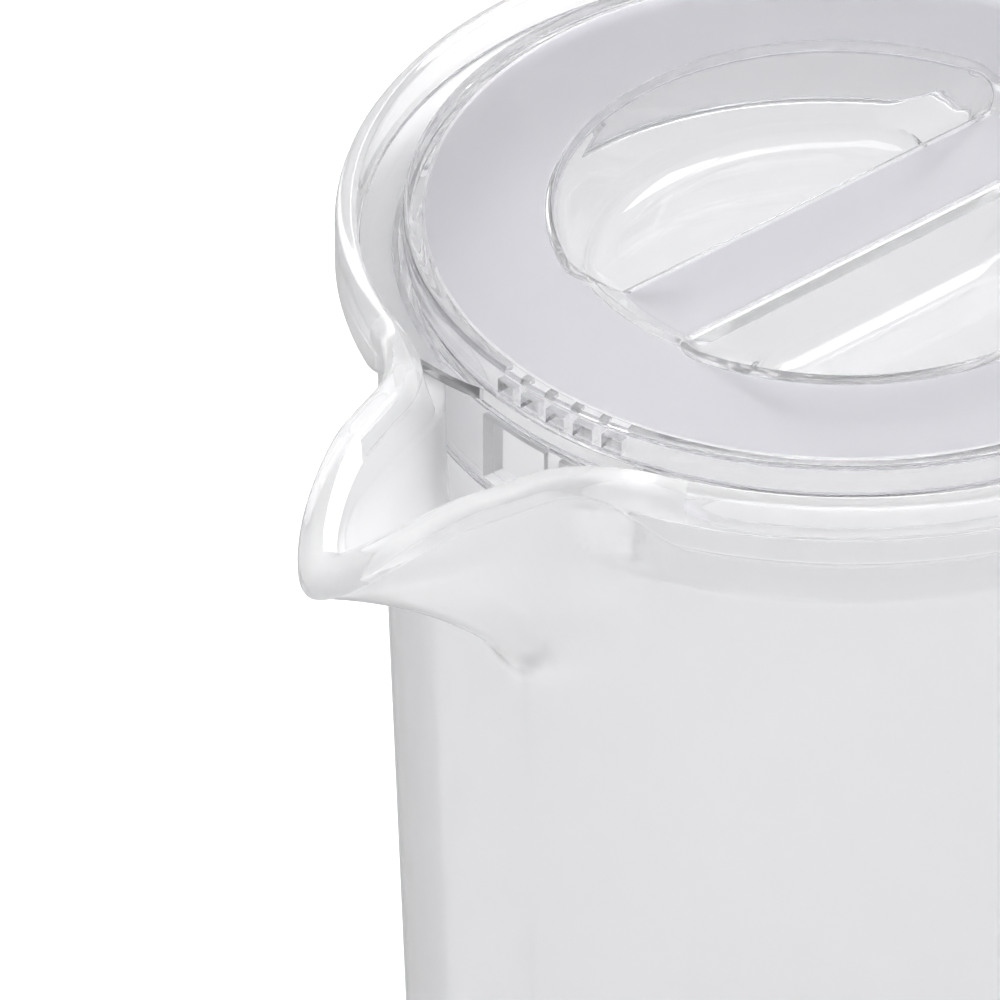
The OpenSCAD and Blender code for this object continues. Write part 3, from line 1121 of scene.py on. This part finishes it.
@dataclass
class LidRing(Moulding):
    """Ring that drops into the mouth: a flange on the ledge and a skirt with the pouring windows."""

    node: ClassVar[str] = "lid_ring"
    body: ClassVar[str] = "lid_ring"
    slot: ClassVar[str] = "lid_plastic"
    finishes: ClassVar[tuple[ClearPlastic, ...]] = (LID_CLEAR, LID_SOFT, LID_CUT)
    fit: LidFit
    rib: float = 0.0024
    edge: float = 0.0003
    edge_share: float = 0.3
    under_band: float = 0.0004
    top_band: float = 0.0006
    run_out_deg: float = 14.0
    run_out_least: float = 0.06
    run_out_power: float = 0.8
    fine_deg: float = 0.8
    sharp_deg: float = 35.0

    def section(self) -> list[tuple[float, float]]:
        """Section of the ring, from the skirt's foot up the outside and down the bore.

        Returns:
            Points as (radius, height).
        """
        fit, e = self.fit, self.edge
        groove_r = fit.r_spigot + fit.snap_out + fit.snap_clear
        groove_top = fit.z_snap + fit.snap_clear
        groove_low = fit.z_snap - fit.snap_h - fit.snap_clear
        part = e * self.edge_share
        return [
            (fit.r_skirt - e, fit.z_skirt), (fit.r_skirt, fit.z_skirt + e),
            (fit.r_skirt, fit.z_sill), (fit.r_skirt, fit.z_head),
            (fit.r_skirt, fit.z_flange - self.under_band), (fit.r_skirt, fit.z_flange),
            (fit.r_flange - e, fit.z_flange), (fit.r_flange, fit.z_flange + e),
            (fit.r_flange, fit.z_ring_top - e), (fit.r_flange - part, fit.z_ring_top - part),
            (fit.r_flange - e, fit.z_ring_top), (fit.r_skirt + self.top_band, fit.z_ring_top),
            (fit.r_skirt, fit.z_ring_top), (fit.r_ring_bore + e, fit.z_ring_top),
            (fit.r_ring_bore, fit.z_ring_top - e),
            (fit.r_ring_bore, groove_top), (groove_r, groove_top),
            (groove_r, groove_low), (fit.r_ring_bore, groove_low),
            (fit.r_ring_bore, fit.z_head), (fit.r_ring_bore, fit.z_sill),
            (fit.r_ring_bore, fit.z_skirt + e), (fit.r_ring_bore + e, fit.z_skirt),
        ]

    def flange_share(self, turns: np.ndarray) -> np.ndarray:
        """How far the flange reaches out at each angle, as it runs out towards the windows.

        Args:
            turns: The angles, in radians.

        Returns:
            Shares of the flange's full width.
        """
        away = np.abs(turns - self.fit.window_at) - self.fit.window_half
        share = np.clip(away / math.radians(self.run_out_deg), 0.0, 1.0)
        return np.maximum(self.run_out_least, share ** self.run_out_power)

    def build(self) -> bpy.types.Object:
        """Draws the ring.

        Returns:
            The ring's object.
        """
        fit = self.fit
        rib_half = self.rib / 2.0 / fit.r_skirt
        low, high = fit.window_at - fit.window_half, fit.window_at + fit.window_half
        marks = [low, fit.window_at - rib_half, fit.window_at + rib_half, high]
        draft = MeshDraft("clear_lid_ring")
        turns = fit.columns(marks, self.fine_deg)
        shell = TurnedShell(draft, self.section(), turns, self.flange_share(turns))
        outside, inside = shell.row(fit.r_skirt, fit.z_sill), shell.row(fit.r_ring_bore, fit.z_head)
        first, rib_first, rib_last, last = (shell.column(mark) for mark in marks)
        shell.cut(Opening(first, rib_first, outside, inside), Finish.CUT)
        shell.cut(Opening(rib_last, last, outside, inside), Finish.CUT)
        under, over = shell.row(fit.r_skirt, fit.z_flange), shell.row(fit.r_skirt, fit.z_ring_top)
        shell.notch(first, last, under, over)
        shell.close(True)
        return draft.build(self.sharp_deg)


@dataclass(frozen=True)
class WellOutline:
    """Outline of a finger well from above: a straight side along the bar, two corners and a round side."""

    arc_r: float
    edge: float
    corner: float

    @property
    def middle_x(self) -> float:
        """Distance along the bar to a corner's middle."""
        return math.sqrt((self.arc_r - self.corner) ** 2 - (self.edge + self.corner) ** 2)

    @property
    def corner_end(self) -> float:
        """Angle about the jug's axis where a corner meets the round side."""
        return math.atan2(self.edge + self.corner, self.middle_x)

    def bent(self, bend: np.ndarray) -> np.ndarray:
        """Points round a corner.

        Args:
            bend: Places round the corner, as shares of its turn.

        Returns:
            Table of (along the bar, across it).
        """
        turn = -math.pi / 2.0 + bend * (self.corner_end + math.pi / 2.0)
        across = self.edge + self.corner + self.corner * np.sin(turn)
        return np.stack([self.middle_x + self.corner * np.cos(turn), across], axis=1)

    def points(self, straight: np.ndarray, bend: np.ndarray, arc_points: int) -> np.ndarray:
        """Points from the middle of the straight side round to it again, anticlockwise.

        Args:
            straight: Places along half of the straight side, as shares of its half length.
            bend: Places round a corner, as shares of its turn.
            arc_points: Number of points on the round side, its ends included.

        Returns:
            Table of (along the bar, across it).
        """
        flat = np.stack([straight * self.middle_x, np.full(len(straight), self.edge)], axis=1)
        right = np.concatenate([flat, self.bent(bend)])
        sweep = np.linspace(self.corner_end, math.pi - self.corner_end, arc_points)[1:-1]
        arc = self.arc_r * np.stack([np.cos(sweep), np.sin(sweep)], axis=1)
        left = right[:0:-1] * [-1.0, 1.0]
        return np.concatenate([right, arc, left])


@dataclass
class GripSheet:
    """One face of the cover's plate: the flat, two finger wells and the bar sunk between them."""

    plane_z: float
    bar_z: float
    floor_z: float
    arc_r: float
    bar_half: float
    ramp_out: float
    ramp_in: float
    edge_round: float
    corner: float
    taper: float
    floor_round: float
    flat_finish: Finish = Finish.CLEAR
    bevel_w: float = 0.0
    bevel_d: float = 0.0
    bar_lean: float = 0.0007
    corner_grow: float = 0.004
    corner_shrink: float = 0.4
    corner_least: float = 0.0012
    rim_band: float = 0.0004
    ramp_soft: float = 0.0004
    ramp_lead: float = 3.0
    edge_lead: float = 2.0
    arc_points: int = 64
    across_points: int = 12
    corner_points: int = 20
    edge_points: int = 6
    lead_points: int = 2
    top_rows: int = 7
    wall_rows: int = 7
    floor_rows: int = 7

    def dish(self, radius: np.ndarray) -> np.ndarray:
        """Height of the face, with the ramps at the bar's ends.

        Args:
            radius: Distances from the middle.

        Returns:
            The heights.
        """
        run = self.ramp_out - self.ramp_in
        share = (self.ramp_out - radius) / run
        soft = self.ramp_soft / run

        def filled(x: np.ndarray) -> np.ndarray:
            """Area under a ramp from 0 to 1."""
            return np.where(x < 0.0, 0.0, np.where(x < 1.0, 0.5 * x * x, x - 0.5))

        fall = (filled(share + soft) - filled(share - soft)) / (2.0 * soft)
        return self.plane_z + (self.bar_z - self.plane_z) * fall

    def stations(self) -> tuple[np.ndarray, np.ndarray, np.ndarray]:
        """Places rows across the bar, from its level top out to the flat.

        Returns:
            The rows' distances from the middle, and where they meet a well's outermost outline, as shares
            of its straight side and shares of its corner.
        """
        grow = self.edge_round + self.rim_band
        rim = WellOutline(self.arc_r + grow, self.bar_half - self.bevel_w - grow, self.corner + grow)
        bend = np.linspace(0.0, 1.0, self.corner_points + 1)[1:]
        bent = rim.bent(bend)
        last = math.hypot(rim.middle_x, rim.edge)
        first = min(self.ramp_in - self.ramp_lead * self.ramp_soft, last - self.edge_lead * self.ramp_soft)
        flat = np.linspace(first, last, self.top_rows)
        straight = np.sqrt(flat ** 2 - rim.edge ** 2) / rim.middle_x
        lead = np.linspace(0.0, straight[0], self.lead_points + 1)[:-1]
        radii = np.concatenate([flat, np.hypot(bent[:, 0], bent[:, 1])])
        return radii, np.concatenate([lead, straight]), bend

    def edge_steps(self) -> list[tuple[float, float, float, float]]:
        """Steps from the flat over a well's edge, which is bevelled along the bar.

        Returns:
            How far out and how far down each step lies, first on the round side and then beside the bar.
        """
        soft, wide = self.edge_round, self.bevel_w
        steps = [(soft + self.rim_band, 0.0, wide + soft + self.rim_band, 0.0)]
        for k, (down, out) in enumerate(quarter(soft, self.edge_points)):
            share = k / self.edge_points
            steps.append((out, down, out + wide * (1.0 - share), down + self.bevel_d * share))
        return steps

    def floor_curve(self) -> list[tuple[float, float]]:
        """Round between a well's wall and its floor, as (in from the wall, above the floor)."""
        curve = quarter(self.floor_round, self.floor_rows)[1:]
        return curve + [(self.floor_round + self.rim_band, 0.0)]

    def well_rows(self, straight: np.ndarray, bend: np.ndarray) -> np.ndarray:
        """Rows of one well from the flat down to its floor.

        Args:
            straight: Shares of the straight side.
            bend: Shares of the corners.

        Returns:
            Table of points.
        """
        side = np.concatenate([np.ones(len(straight)), 1.0 - ease(bend)])
        beside_bar = np.concatenate([side, np.zeros(self.arc_points - 2), side[:0:-1]])
        rows = []
        for out, down, bar_out, bar_down in self.edge_steps():
            outline = WellOutline(self.arc_r + out, self.bar_half - bar_out, self.corner + out)
            line = outline.points(straight, bend, self.arc_points)
            height = self.dish(np.hypot(line[:, 0], line[:, 1])) - down - (bar_down - down) * beside_bar
            rows.append(np.concatenate([line, height[:, None]], axis=1))
        start = rows[-1][:, 2]
        foot = self.floor_z + self.floor_round
        steps = [(t, 0.0, start * (1.0 - t) + foot * t) for t in np.linspace(0.0, 1.0, self.wall_rows)[1:]]
        for into, above in self.floor_curve():
            steps.append((1.0, into, np.full(len(start), self.floor_z + above)))
        for t, into, height in steps:
            arc_r = self.arc_r - self.taper * t - into
            edge = self.bar_half + self.bar_lean * t + into
            corner = max(self.corner_least, self.corner + self.corner_grow * t - into * self.corner_shrink)
            line = WellOutline(arc_r, edge, corner).points(straight, bend, self.arc_points)
            rows.append(np.concatenate([line, height[:, None]], axis=1))
        return np.array(rows)

    def draw_well(self, draft: MeshDraft, rows: np.ndarray, spin: np.ndarray, beside: int) -> np.ndarray:
        """Draws one well.

        Args:
            draft: Draft of the cover.
            rows: Rows of the well's points, with the bar along the first axis.
            spin: Turn that puts the well in its place.
            beside: How many points at either end of a row lie beside the bar.

        Returns:
            Point numbers of the well's outermost outline.
        """
        rim = [self.flat_finish] * rows.shape[1]
        rim[:beside] = [Finish.CLEAR] * beside
        rim[-beside:] = [Finish.CLEAR] * beside
        table = rows.copy()
        table[..., :2] = table[..., :2] @ spin
        numbers = draft.add(table)
        draft.skin(numbers[:self.edge_points + 2], finishes=rim)
        draft.finish = Finish.CLEAR
        draft.skin(numbers[self.edge_points + 1:])
        draft.cap(numbers[-1])
        return numbers[0]

    def bar_rows(self, radii: np.ndarray, edge: np.ndarray, spin: np.ndarray) -> np.ndarray:
        """Rows across one end of the bar, without the points that they share with the wells.

        Args:
            radii: The rows' distances from the middle.
            edge: Points of a well's outermost outline that the rows end on.
            spin: Turn that puts this end of the bar in its place.

        Returns:
            Table of points.
        """
        rows = []
        for radius, point in zip(radii, edge):
            half = math.atan2(point[1], point[0])
            sweep = np.linspace(-half, half, self.across_points + 1)[1:-1]
            height = float(self.dish(np.array(radius)))
            rows.append([(radius * math.cos(a), radius * math.sin(a), height) for a in sweep])
        table = np.array(rows)
        table[..., :2] = table[..., :2] @ spin
        return table

    def draw(self, draft: MeshDraft, turn: float) -> np.ndarray:
        """Draws the face.

        Args:
            draft: Draft of the cover.
            turn: Angle of the bar about the jug's axis, in radians.

        Returns:
            Point numbers of the round ring where the wells and the bar meet the flat.
        """
        radii, straight, bend = self.stations()
        rows = self.well_rows(straight, bend)
        lead, path = self.lead_points, len(straight) + len(bend)
        spin = np.array([[math.cos(turn), math.sin(turn)], [-math.sin(turn), math.cos(turn)]])
        spins = (spin, -spin)
        wells = [self.draw_well(draft, rows, side, len(straight) + len(bend) // 2) for side in spins]
        top, ring = [], []
        for end, side in enumerate(spins):
            right, left = wells[end], wells[1 - end]
            inner = draft.add(self.bar_rows(radii, rows[0][lead:], side))
            full = []
            for k, row in enumerate(inner):
                full.append(np.concatenate([[left[-(lead + k)]], row, [right[lead + k]]]))
            for k, radius in enumerate(radii[:-1]):
                on_ramp = self.ramp_in <= radius < self.ramp_out
                draft.finish = Finish.CLEAR if on_ramp else self.flat_finish
                draft.skin(np.array(full[k:k + 2]), wrap=False)
            top += [full[0], np.concatenate([right[lead - 1:0:-1], right[:1], right[-1:-lead:-1]])]
            ring += [full[-1], right[path:path + self.arc_points - 2]]
        draft.finish = self.flat_finish
        draft.cap(np.concatenate(top))
        return np.concatenate(ring)


@dataclass
class LidCover(Moulding):
    """Cover that turns in the ring: a plate with two finger wells, a grip bar and strainer slots."""

    node: ClassVar[str] = "lid_cover"
    body: ClassVar[str] = "lid_cover"
    slot: ClassVar[str] = "lid_plastic"
    finishes: ClassVar[tuple[ClearPlastic, ...]] = (LID_CLEAR, LID_SOFT, LID_CUT)
    fit: LidFit
    disc_rise: float = 0.00465
    disc_t: float = 0.002
    cover_wall: float = 0.0015
    disc_round: float = 0.0007
    seat_lap: float = 0.0009
    slot_count: int = 5
    slot_w: float = 0.003
    slot_pitch: float = 0.0044
    slot_sill: float = 0.0003
    slot_head: float = 0.0001
    grip_r: float = 0.037
    bar_w: float = 0.0156
    bar_drop: float = 0.0027
    bevel_w: float = 0.0016
    bevel_d: float = 0.0011
    ramp_r: float = 0.036
    ramp_run: float = 0.004
    ramp_shift: float = 0.0005
    well_corner: float = 0.0045
    well_depth: float = 0.013
    well_taper: float = 0.004
    well_wall: float = 0.0008
    bar_wall: float = 0.0014
    bar_turn_deg: float = -9.0
    edge_round: float = 0.0003
    floor_round: float = 0.003
    band: float = 0.0005
    seat_edge: float = 0.0001
    snap_edge: float = 0.0002
    foot_edge: float = 0.0003
    round_rows: int = 5
    fine_deg: float = 0.7
    sharp_deg: float = 35.0

    def __post_init__(self) -> None:
        """Works out the cover's levels and radii."""
        self.r_disc = self.fit.r_ring_bore + self.seat_lap
        self.r_inside = self.fit.r_spigot - self.cover_wall
        self.z_disc = self.fit.z_seat + self.disc_rise
        self.z_under = self.z_disc - self.disc_t
        self.z_slot_head = self.z_under - self.slot_head
        self.z_slot_sill = self.fit.z_seat + self.slot_sill

    def section(self) -> list[tuple[float, float]]:
        """Section of the cover, from the plate's top over its edge, down the spigot and up inside.

        Returns:
            Points as (radius, height).
        """
        fit, soft, inside = self.fit, self.disc_round, self.r_inside
        seat, snap, foot = self.seat_edge, self.snap_edge, self.foot_edge
        snap_r = fit.r_spigot + fit.snap_out
        top = [(self.r_disc - soft - self.band, self.z_disc)]
        for into, down in quarter(soft, self.round_rows)[::-1]:
            top.append((self.r_disc - into, self.z_disc - down))
        return top + [
            (self.r_disc, self.z_slot_head), (self.r_disc, self.z_slot_sill),
            (self.r_disc, fit.z_seat + seat), (self.r_disc - seat, fit.z_seat),
            (fit.r_spigot, fit.z_seat), (fit.r_spigot, fit.z_snap),
            (snap_r - snap, fit.z_snap), (snap_r, fit.z_snap - snap),
            (snap_r, fit.z_snap - fit.snap_h + snap), (fit.r_spigot, fit.z_snap - fit.snap_h),
            (fit.r_spigot, fit.z_head), (fit.r_spigot, fit.z_sill),
            (fit.r_spigot, fit.z_skirt + foot), (fit.r_spigot - foot, fit.z_skirt),
            (inside + foot, fit.z_skirt), (inside, fit.z_skirt + foot),
            (inside, fit.z_sill), (inside, fit.z_head),
            (inside, self.z_slot_sill), (inside, self.z_slot_head), (inside, self.z_under),
            (inside - self.band, self.z_under),
        ]

    def build(self) -> bpy.types.Object:
        """Draws the cover.

        Returns:
            The cover's object.
        """
        fit = self.fit
        draft = MeshDraft("clear_lid_cover")
        slot_half = math.asin(self.slot_w / 2.0 / self.r_disc)
        step = self.slot_pitch / self.r_disc
        middles = [fit.window_at + (i - (self.slot_count - 1) / 2.0) * step for i in range(self.slot_count)]
        slots = [(middle - slot_half, middle + slot_half) for middle in middles]
        window = (fit.window_at - fit.window_half, fit.window_at + fit.window_half)
        marks = sorted(mark for pair in (window, *slots) for mark in pair)
        shell = TurnedShell(draft, self.section(), fit.columns(marks, self.fine_deg))
        outside = shell.row(self.r_disc, self.z_slot_head)
        inside = shell.row(self.r_inside, self.z_slot_sill)
        for first, last in slots:
            shell.cut(Opening(shell.column(first), shell.column(last), outside, inside), Finish.CLEAR)
        outside, inside = shell.row(fit.r_spigot, fit.z_head), shell.row(self.r_inside, fit.z_sill)
        shell.cut(Opening(shell.column(window[0]), shell.column(window[1]), outside, inside), Finish.CUT)
        shell.close(False)
        turn = fit.window_at + math.radians(self.bar_turn_deg)
        for sheet, ring in ((self.top_sheet(), shell.rows[0]), (self.under_sheet(), shell.rows[-1])):
            draft.finish = Finish.CLEAR
            draft.zip_rings(ring, sheet.draw(draft, turn))
        return draft.build(self.sharp_deg)

    def top_sheet(self) -> GripSheet:
        """Sizes the face that shows from above.

        Returns:
            The face.
        """
        return GripSheet(
            plane_z=self.z_disc,
            bar_z=self.z_disc - self.bar_drop,
            floor_z=self.z_disc - self.well_depth,
            arc_r=self.grip_r,
            bar_half=self.bar_w / 2.0,
            ramp_out=self.ramp_r,
            ramp_in=self.ramp_r - self.ramp_run,
            edge_round=self.edge_round,
            corner=self.well_corner,
            taper=self.well_taper,
            floor_round=self.floor_round,
            bevel_w=self.bevel_w,
            bevel_d=self.bevel_d,
        )

    def under_sheet(self) -> GripSheet:
        """Sizes the face below, which follows the top at the thickness of the walls.

        Returns:
            The face.
        """
        return GripSheet(
            plane_z=self.z_under,
            bar_z=self.z_disc - self.bar_drop - self.well_wall,
            floor_z=self.z_disc - self.well_depth - self.well_wall,
            arc_r=self.grip_r + self.well_wall,
            bar_half=self.bar_w / 2.0 - self.bar_wall,
            ramp_out=self.ramp_r + self.ramp_shift,
            ramp_in=self.ramp_r - self.ramp_run + self.ramp_shift,
            edge_round=self.edge_round,
            corner=self.well_corner + self.well_wall,
            taper=self.well_taper,
            floor_round=self.floor_round + self.well_wall / 2.0,
            flat_finish=Finish.SOFT,
        )


@dataclass(frozen=True)
class SoftBox:
    """One soft lamp that faces the pitcher."""

    name: str
    at: tuple[float, float, float]
    size: tuple[float, float]
    watts: float
    use: LampUse = LampUse.LIGHT
    aim_at: tuple[float, float, float] = (0.0, 0.0, 0.12)

    def hang(self) -> None:
        """Hangs the lamp."""
        lamp = bpy.data.lights.new(self.name, "AREA")
        lamp.shape = "RECTANGLE"
        lamp.size, lamp.size_y = self.size
        lamp.energy = self.watts
        holder = bpy.data.objects.new(self.name, lamp)
        holder.location = self.at
        aim = Vector(self.aim_at) - Vector(self.at)
        holder.rotation_euler = aim.to_track_quat("-Z", "Y").to_euler()
        lights = self.use is LampUse.LIGHT
        holder.visible_diffuse = lights
        holder.visible_transmission = lights
        holder.visible_glossy = not lights
        bpy.context.scene.collection.objects.link(holder)


@dataclass
class Studio:
    """White floor, soft lamps, the room's light and the camera at the picture's viewing angle."""

    target: tuple[float, float, float] = (-0.03065, 0.03119, 0.15755)
    camera_at: tuple[float, float, float] = (-0.8298, -0.7541, 0.997)
    lens_mm: float = 385.0
    sensor_mm: float = 36.0
    far_clip: float = 50.0
    floor_size: float = 8.0
    floor_points: int = 9
    floor_sharp_deg: float = 30.0
    lamps: tuple[SoftBox, ...] = (
        SoftBox("overhead_box", (0.1, 0.2, 1.5), (1.2, 1.2), 18.0),
        SoftBox("key_box", (0.86, -0.56, 1.3), (0.86, 0.7), 10.0, LampUse.MIRROR),
        SoftBox("fill_box", (0.7, -0.26, 1.5), (0.8, 0.8), 8.0),
    )
    card_start_deg: float = 20.0
    card_end_deg: float = 97.0
    card_soft_deg: float = 1.5
    card_grey: float = 0.45
    room_grey: float = 0.95
    wall_grey: float = 0.8
    wall_blue: float = 1.02
    wall_top: float = 0.9
    ceiling_from: float = 0.9001
    ceiling_edge: tuple[float, float, float] = (1.0, 1.0, 1.0053)
    ceiling: tuple[float, float, float] = (1.0, 1.0, 1.0)
    bounces: int = 256
    see_through_bounces: int = 16

    def floor(self) -> None:
        """Lays the floor, which isn't mirrored in the plastic."""
        draft = MeshDraft("studio_floor")
        side = np.linspace(-self.floor_size / 2.0, self.floor_size / 2.0, self.floor_points)
        table = [[(x, y, 0.0) for x in side] for y in side]
        draft.skin(draft.add(np.array(table)), wrap=False)
        floor = draft.build(self.floor_sharp_deg)
        floor.data.materials.append(PaperFloor().make())
        floor.visible_glossy = False

    def world(self) -> None:
        """Fills the room with plain light: a white ceiling, pale walls, and a darker card on one side."""
        world = bpy.data.worlds.new("studio_room")
        world.use_nodes = True
        tree = world.node_tree
        nodes, links = tree.nodes, tree.links
        place = nodes.new("ShaderNodeTexCoord")
        parts = nodes.new("ShaderNodeSeparateXYZ")
        links.new(place.outputs["Generated"], parts.inputs["Vector"])
        level = nodes.new("ShaderNodeMapRange")
        level.inputs["From Min"].default_value = -1.0
        level.inputs["From Max"].default_value = 1.0
        links.new(parts.outputs["Z"], level.inputs["Value"])
        turn = nodes.new("ShaderNodeMath")
        turn.operation = "ARCTAN2"
        links.new(parts.outputs["Y"], turn.inputs[0])
        links.new(parts.outputs["X"], turn.inputs[1])
        off_card = nodes.new("ShaderNodeMath")
        off_card.operation = "MAXIMUM"
        links.new(self.edge(tree, turn, self.card_end_deg, True), off_card.inputs[0])
        links.new(self.edge(tree, turn, self.card_start_deg, False), off_card.inputs[1])
        mix = nodes.new("ShaderNodeMix")
        mix.data_type = "RGBA"
        links.new(off_card.outputs["Value"], mix.inputs["Factor"])
        links.new(self.wall(tree, level, self.card_grey), mix.inputs["A"])
        links.new(self.wall(tree, level, self.room_grey), mix.inputs["B"])
        links.new(mix.outputs["Result"], nodes["Background"].inputs["Color"])
        nodes["Background"].inputs["Strength"].default_value = 1.0
        bpy.context.scene.world = world

    def edge(self, tree: bpy.types.NodeTree, turn: bpy.types.Node, at_deg: float,
             rising: bool) -> bpy.types.NodeSocket:
        """Adds a soft edge round the room.

        Args:
            tree: The room's nodes.
            turn: Node that gives the angle round the room.
            at_deg: Angle of the edge.
            rising: Whether the value goes from 0 to 1 there, and not from 1 to 0.

        Returns:
            The edge's value.
        """
        edge = tree.nodes.new("ShaderNodeMapRange")
        edge.interpolation_type = "SMOOTHSTEP"
        edge.inputs["From Min"].default_value = math.radians(at_deg - self.card_soft_deg)
        edge.inputs["From Max"].default_value = math.radians(at_deg + self.card_soft_deg)
        edge.inputs["To Min"].default_value = 0.0 if rising else 1.0
        edge.inputs["To Max"].default_value = 1.0 if rising else 0.0
        tree.links.new(turn.outputs["Value"], edge.inputs["Value"])
        return edge.outputs["Result"]

    def wall(self, tree: bpy.types.NodeTree, level: bpy.types.Node,
             low_grey: float) -> bpy.types.NodeSocket:
        """Adds a wall whose grey runs from straight down to the ceiling's edge, with the ceiling above it.

        Args:
            tree: The room's nodes.
            level: Node that gives the share of the way up.
            low_grey: The wall's grey straight down.

        Returns:
            The wall's colour.
        """
        wall = tree.nodes.new("ShaderNodeValToRGB")
        stops = wall.color_ramp.elements
        stops[0].color = (low_grey, low_grey, low_grey * self.wall_blue, 1.0)
        stops[1].color = (*self.ceiling, 1.0)
        stops.new(self.wall_top).color = (
            self.wall_grey, self.wall_grey, self.wall_grey * self.wall_blue, 1.0,
        )
        stops.new(self.ceiling_from).color = (*self.ceiling_edge, 1.0)
        tree.links.new(level.outputs["Result"], wall.inputs["Fac"])
        return wall.outputs["Color"]

    def camera(self) -> None:
        """Sets up the camera."""
        data = bpy.data.cameras.new("studio_camera")
        data.sensor_fit = "HORIZONTAL"
        data.sensor_width = self.sensor_mm
        data.lens = self.lens_mm
        data.clip_end = self.far_clip
        camera = bpy.data.objects.new("studio_camera", data)
        camera.location = self.camera_at
        aim = Vector(self.target) - Vector(self.camera_at)
        camera.rotation_euler = aim.to_track_quat("-Z", "Y").to_euler()
        bpy.context.scene.collection.objects.link(camera)
        bpy.context.scene.camera = camera

    def set_up(self) -> None:
        """Builds the whole studio."""
        self.floor()
        self.world()
        for lamp in self.lamps:
            lamp.hang()
        self.camera()
        scene = bpy.context.scene
        scene.view_settings.view_transform = "Standard"
        scene.cycles.max_bounces = self.bounces
        scene.cycles.transmission_bounces = self.bounces
        scene.cycles.glossy_bounces = self.bounces
        scene.cycles.transparent_max_bounces = self.see_through_bounces


def main() -> None:
    """Builds the pitcher piece by piece and sets up the studio."""
    logging.basicConfig(level=logging.INFO, format="%(message)s")
    jug = JugBody()
    fit = LidFit(jug)
    for moulding in (jug, Handle(jug), LidRing(fit), LidCover(fit)):
        piece = moulding.dress()
        log.info("%s rides on %s", piece.name, moulding.body)
    Studio().set_up()


if __name__ == "__main__":
    main()
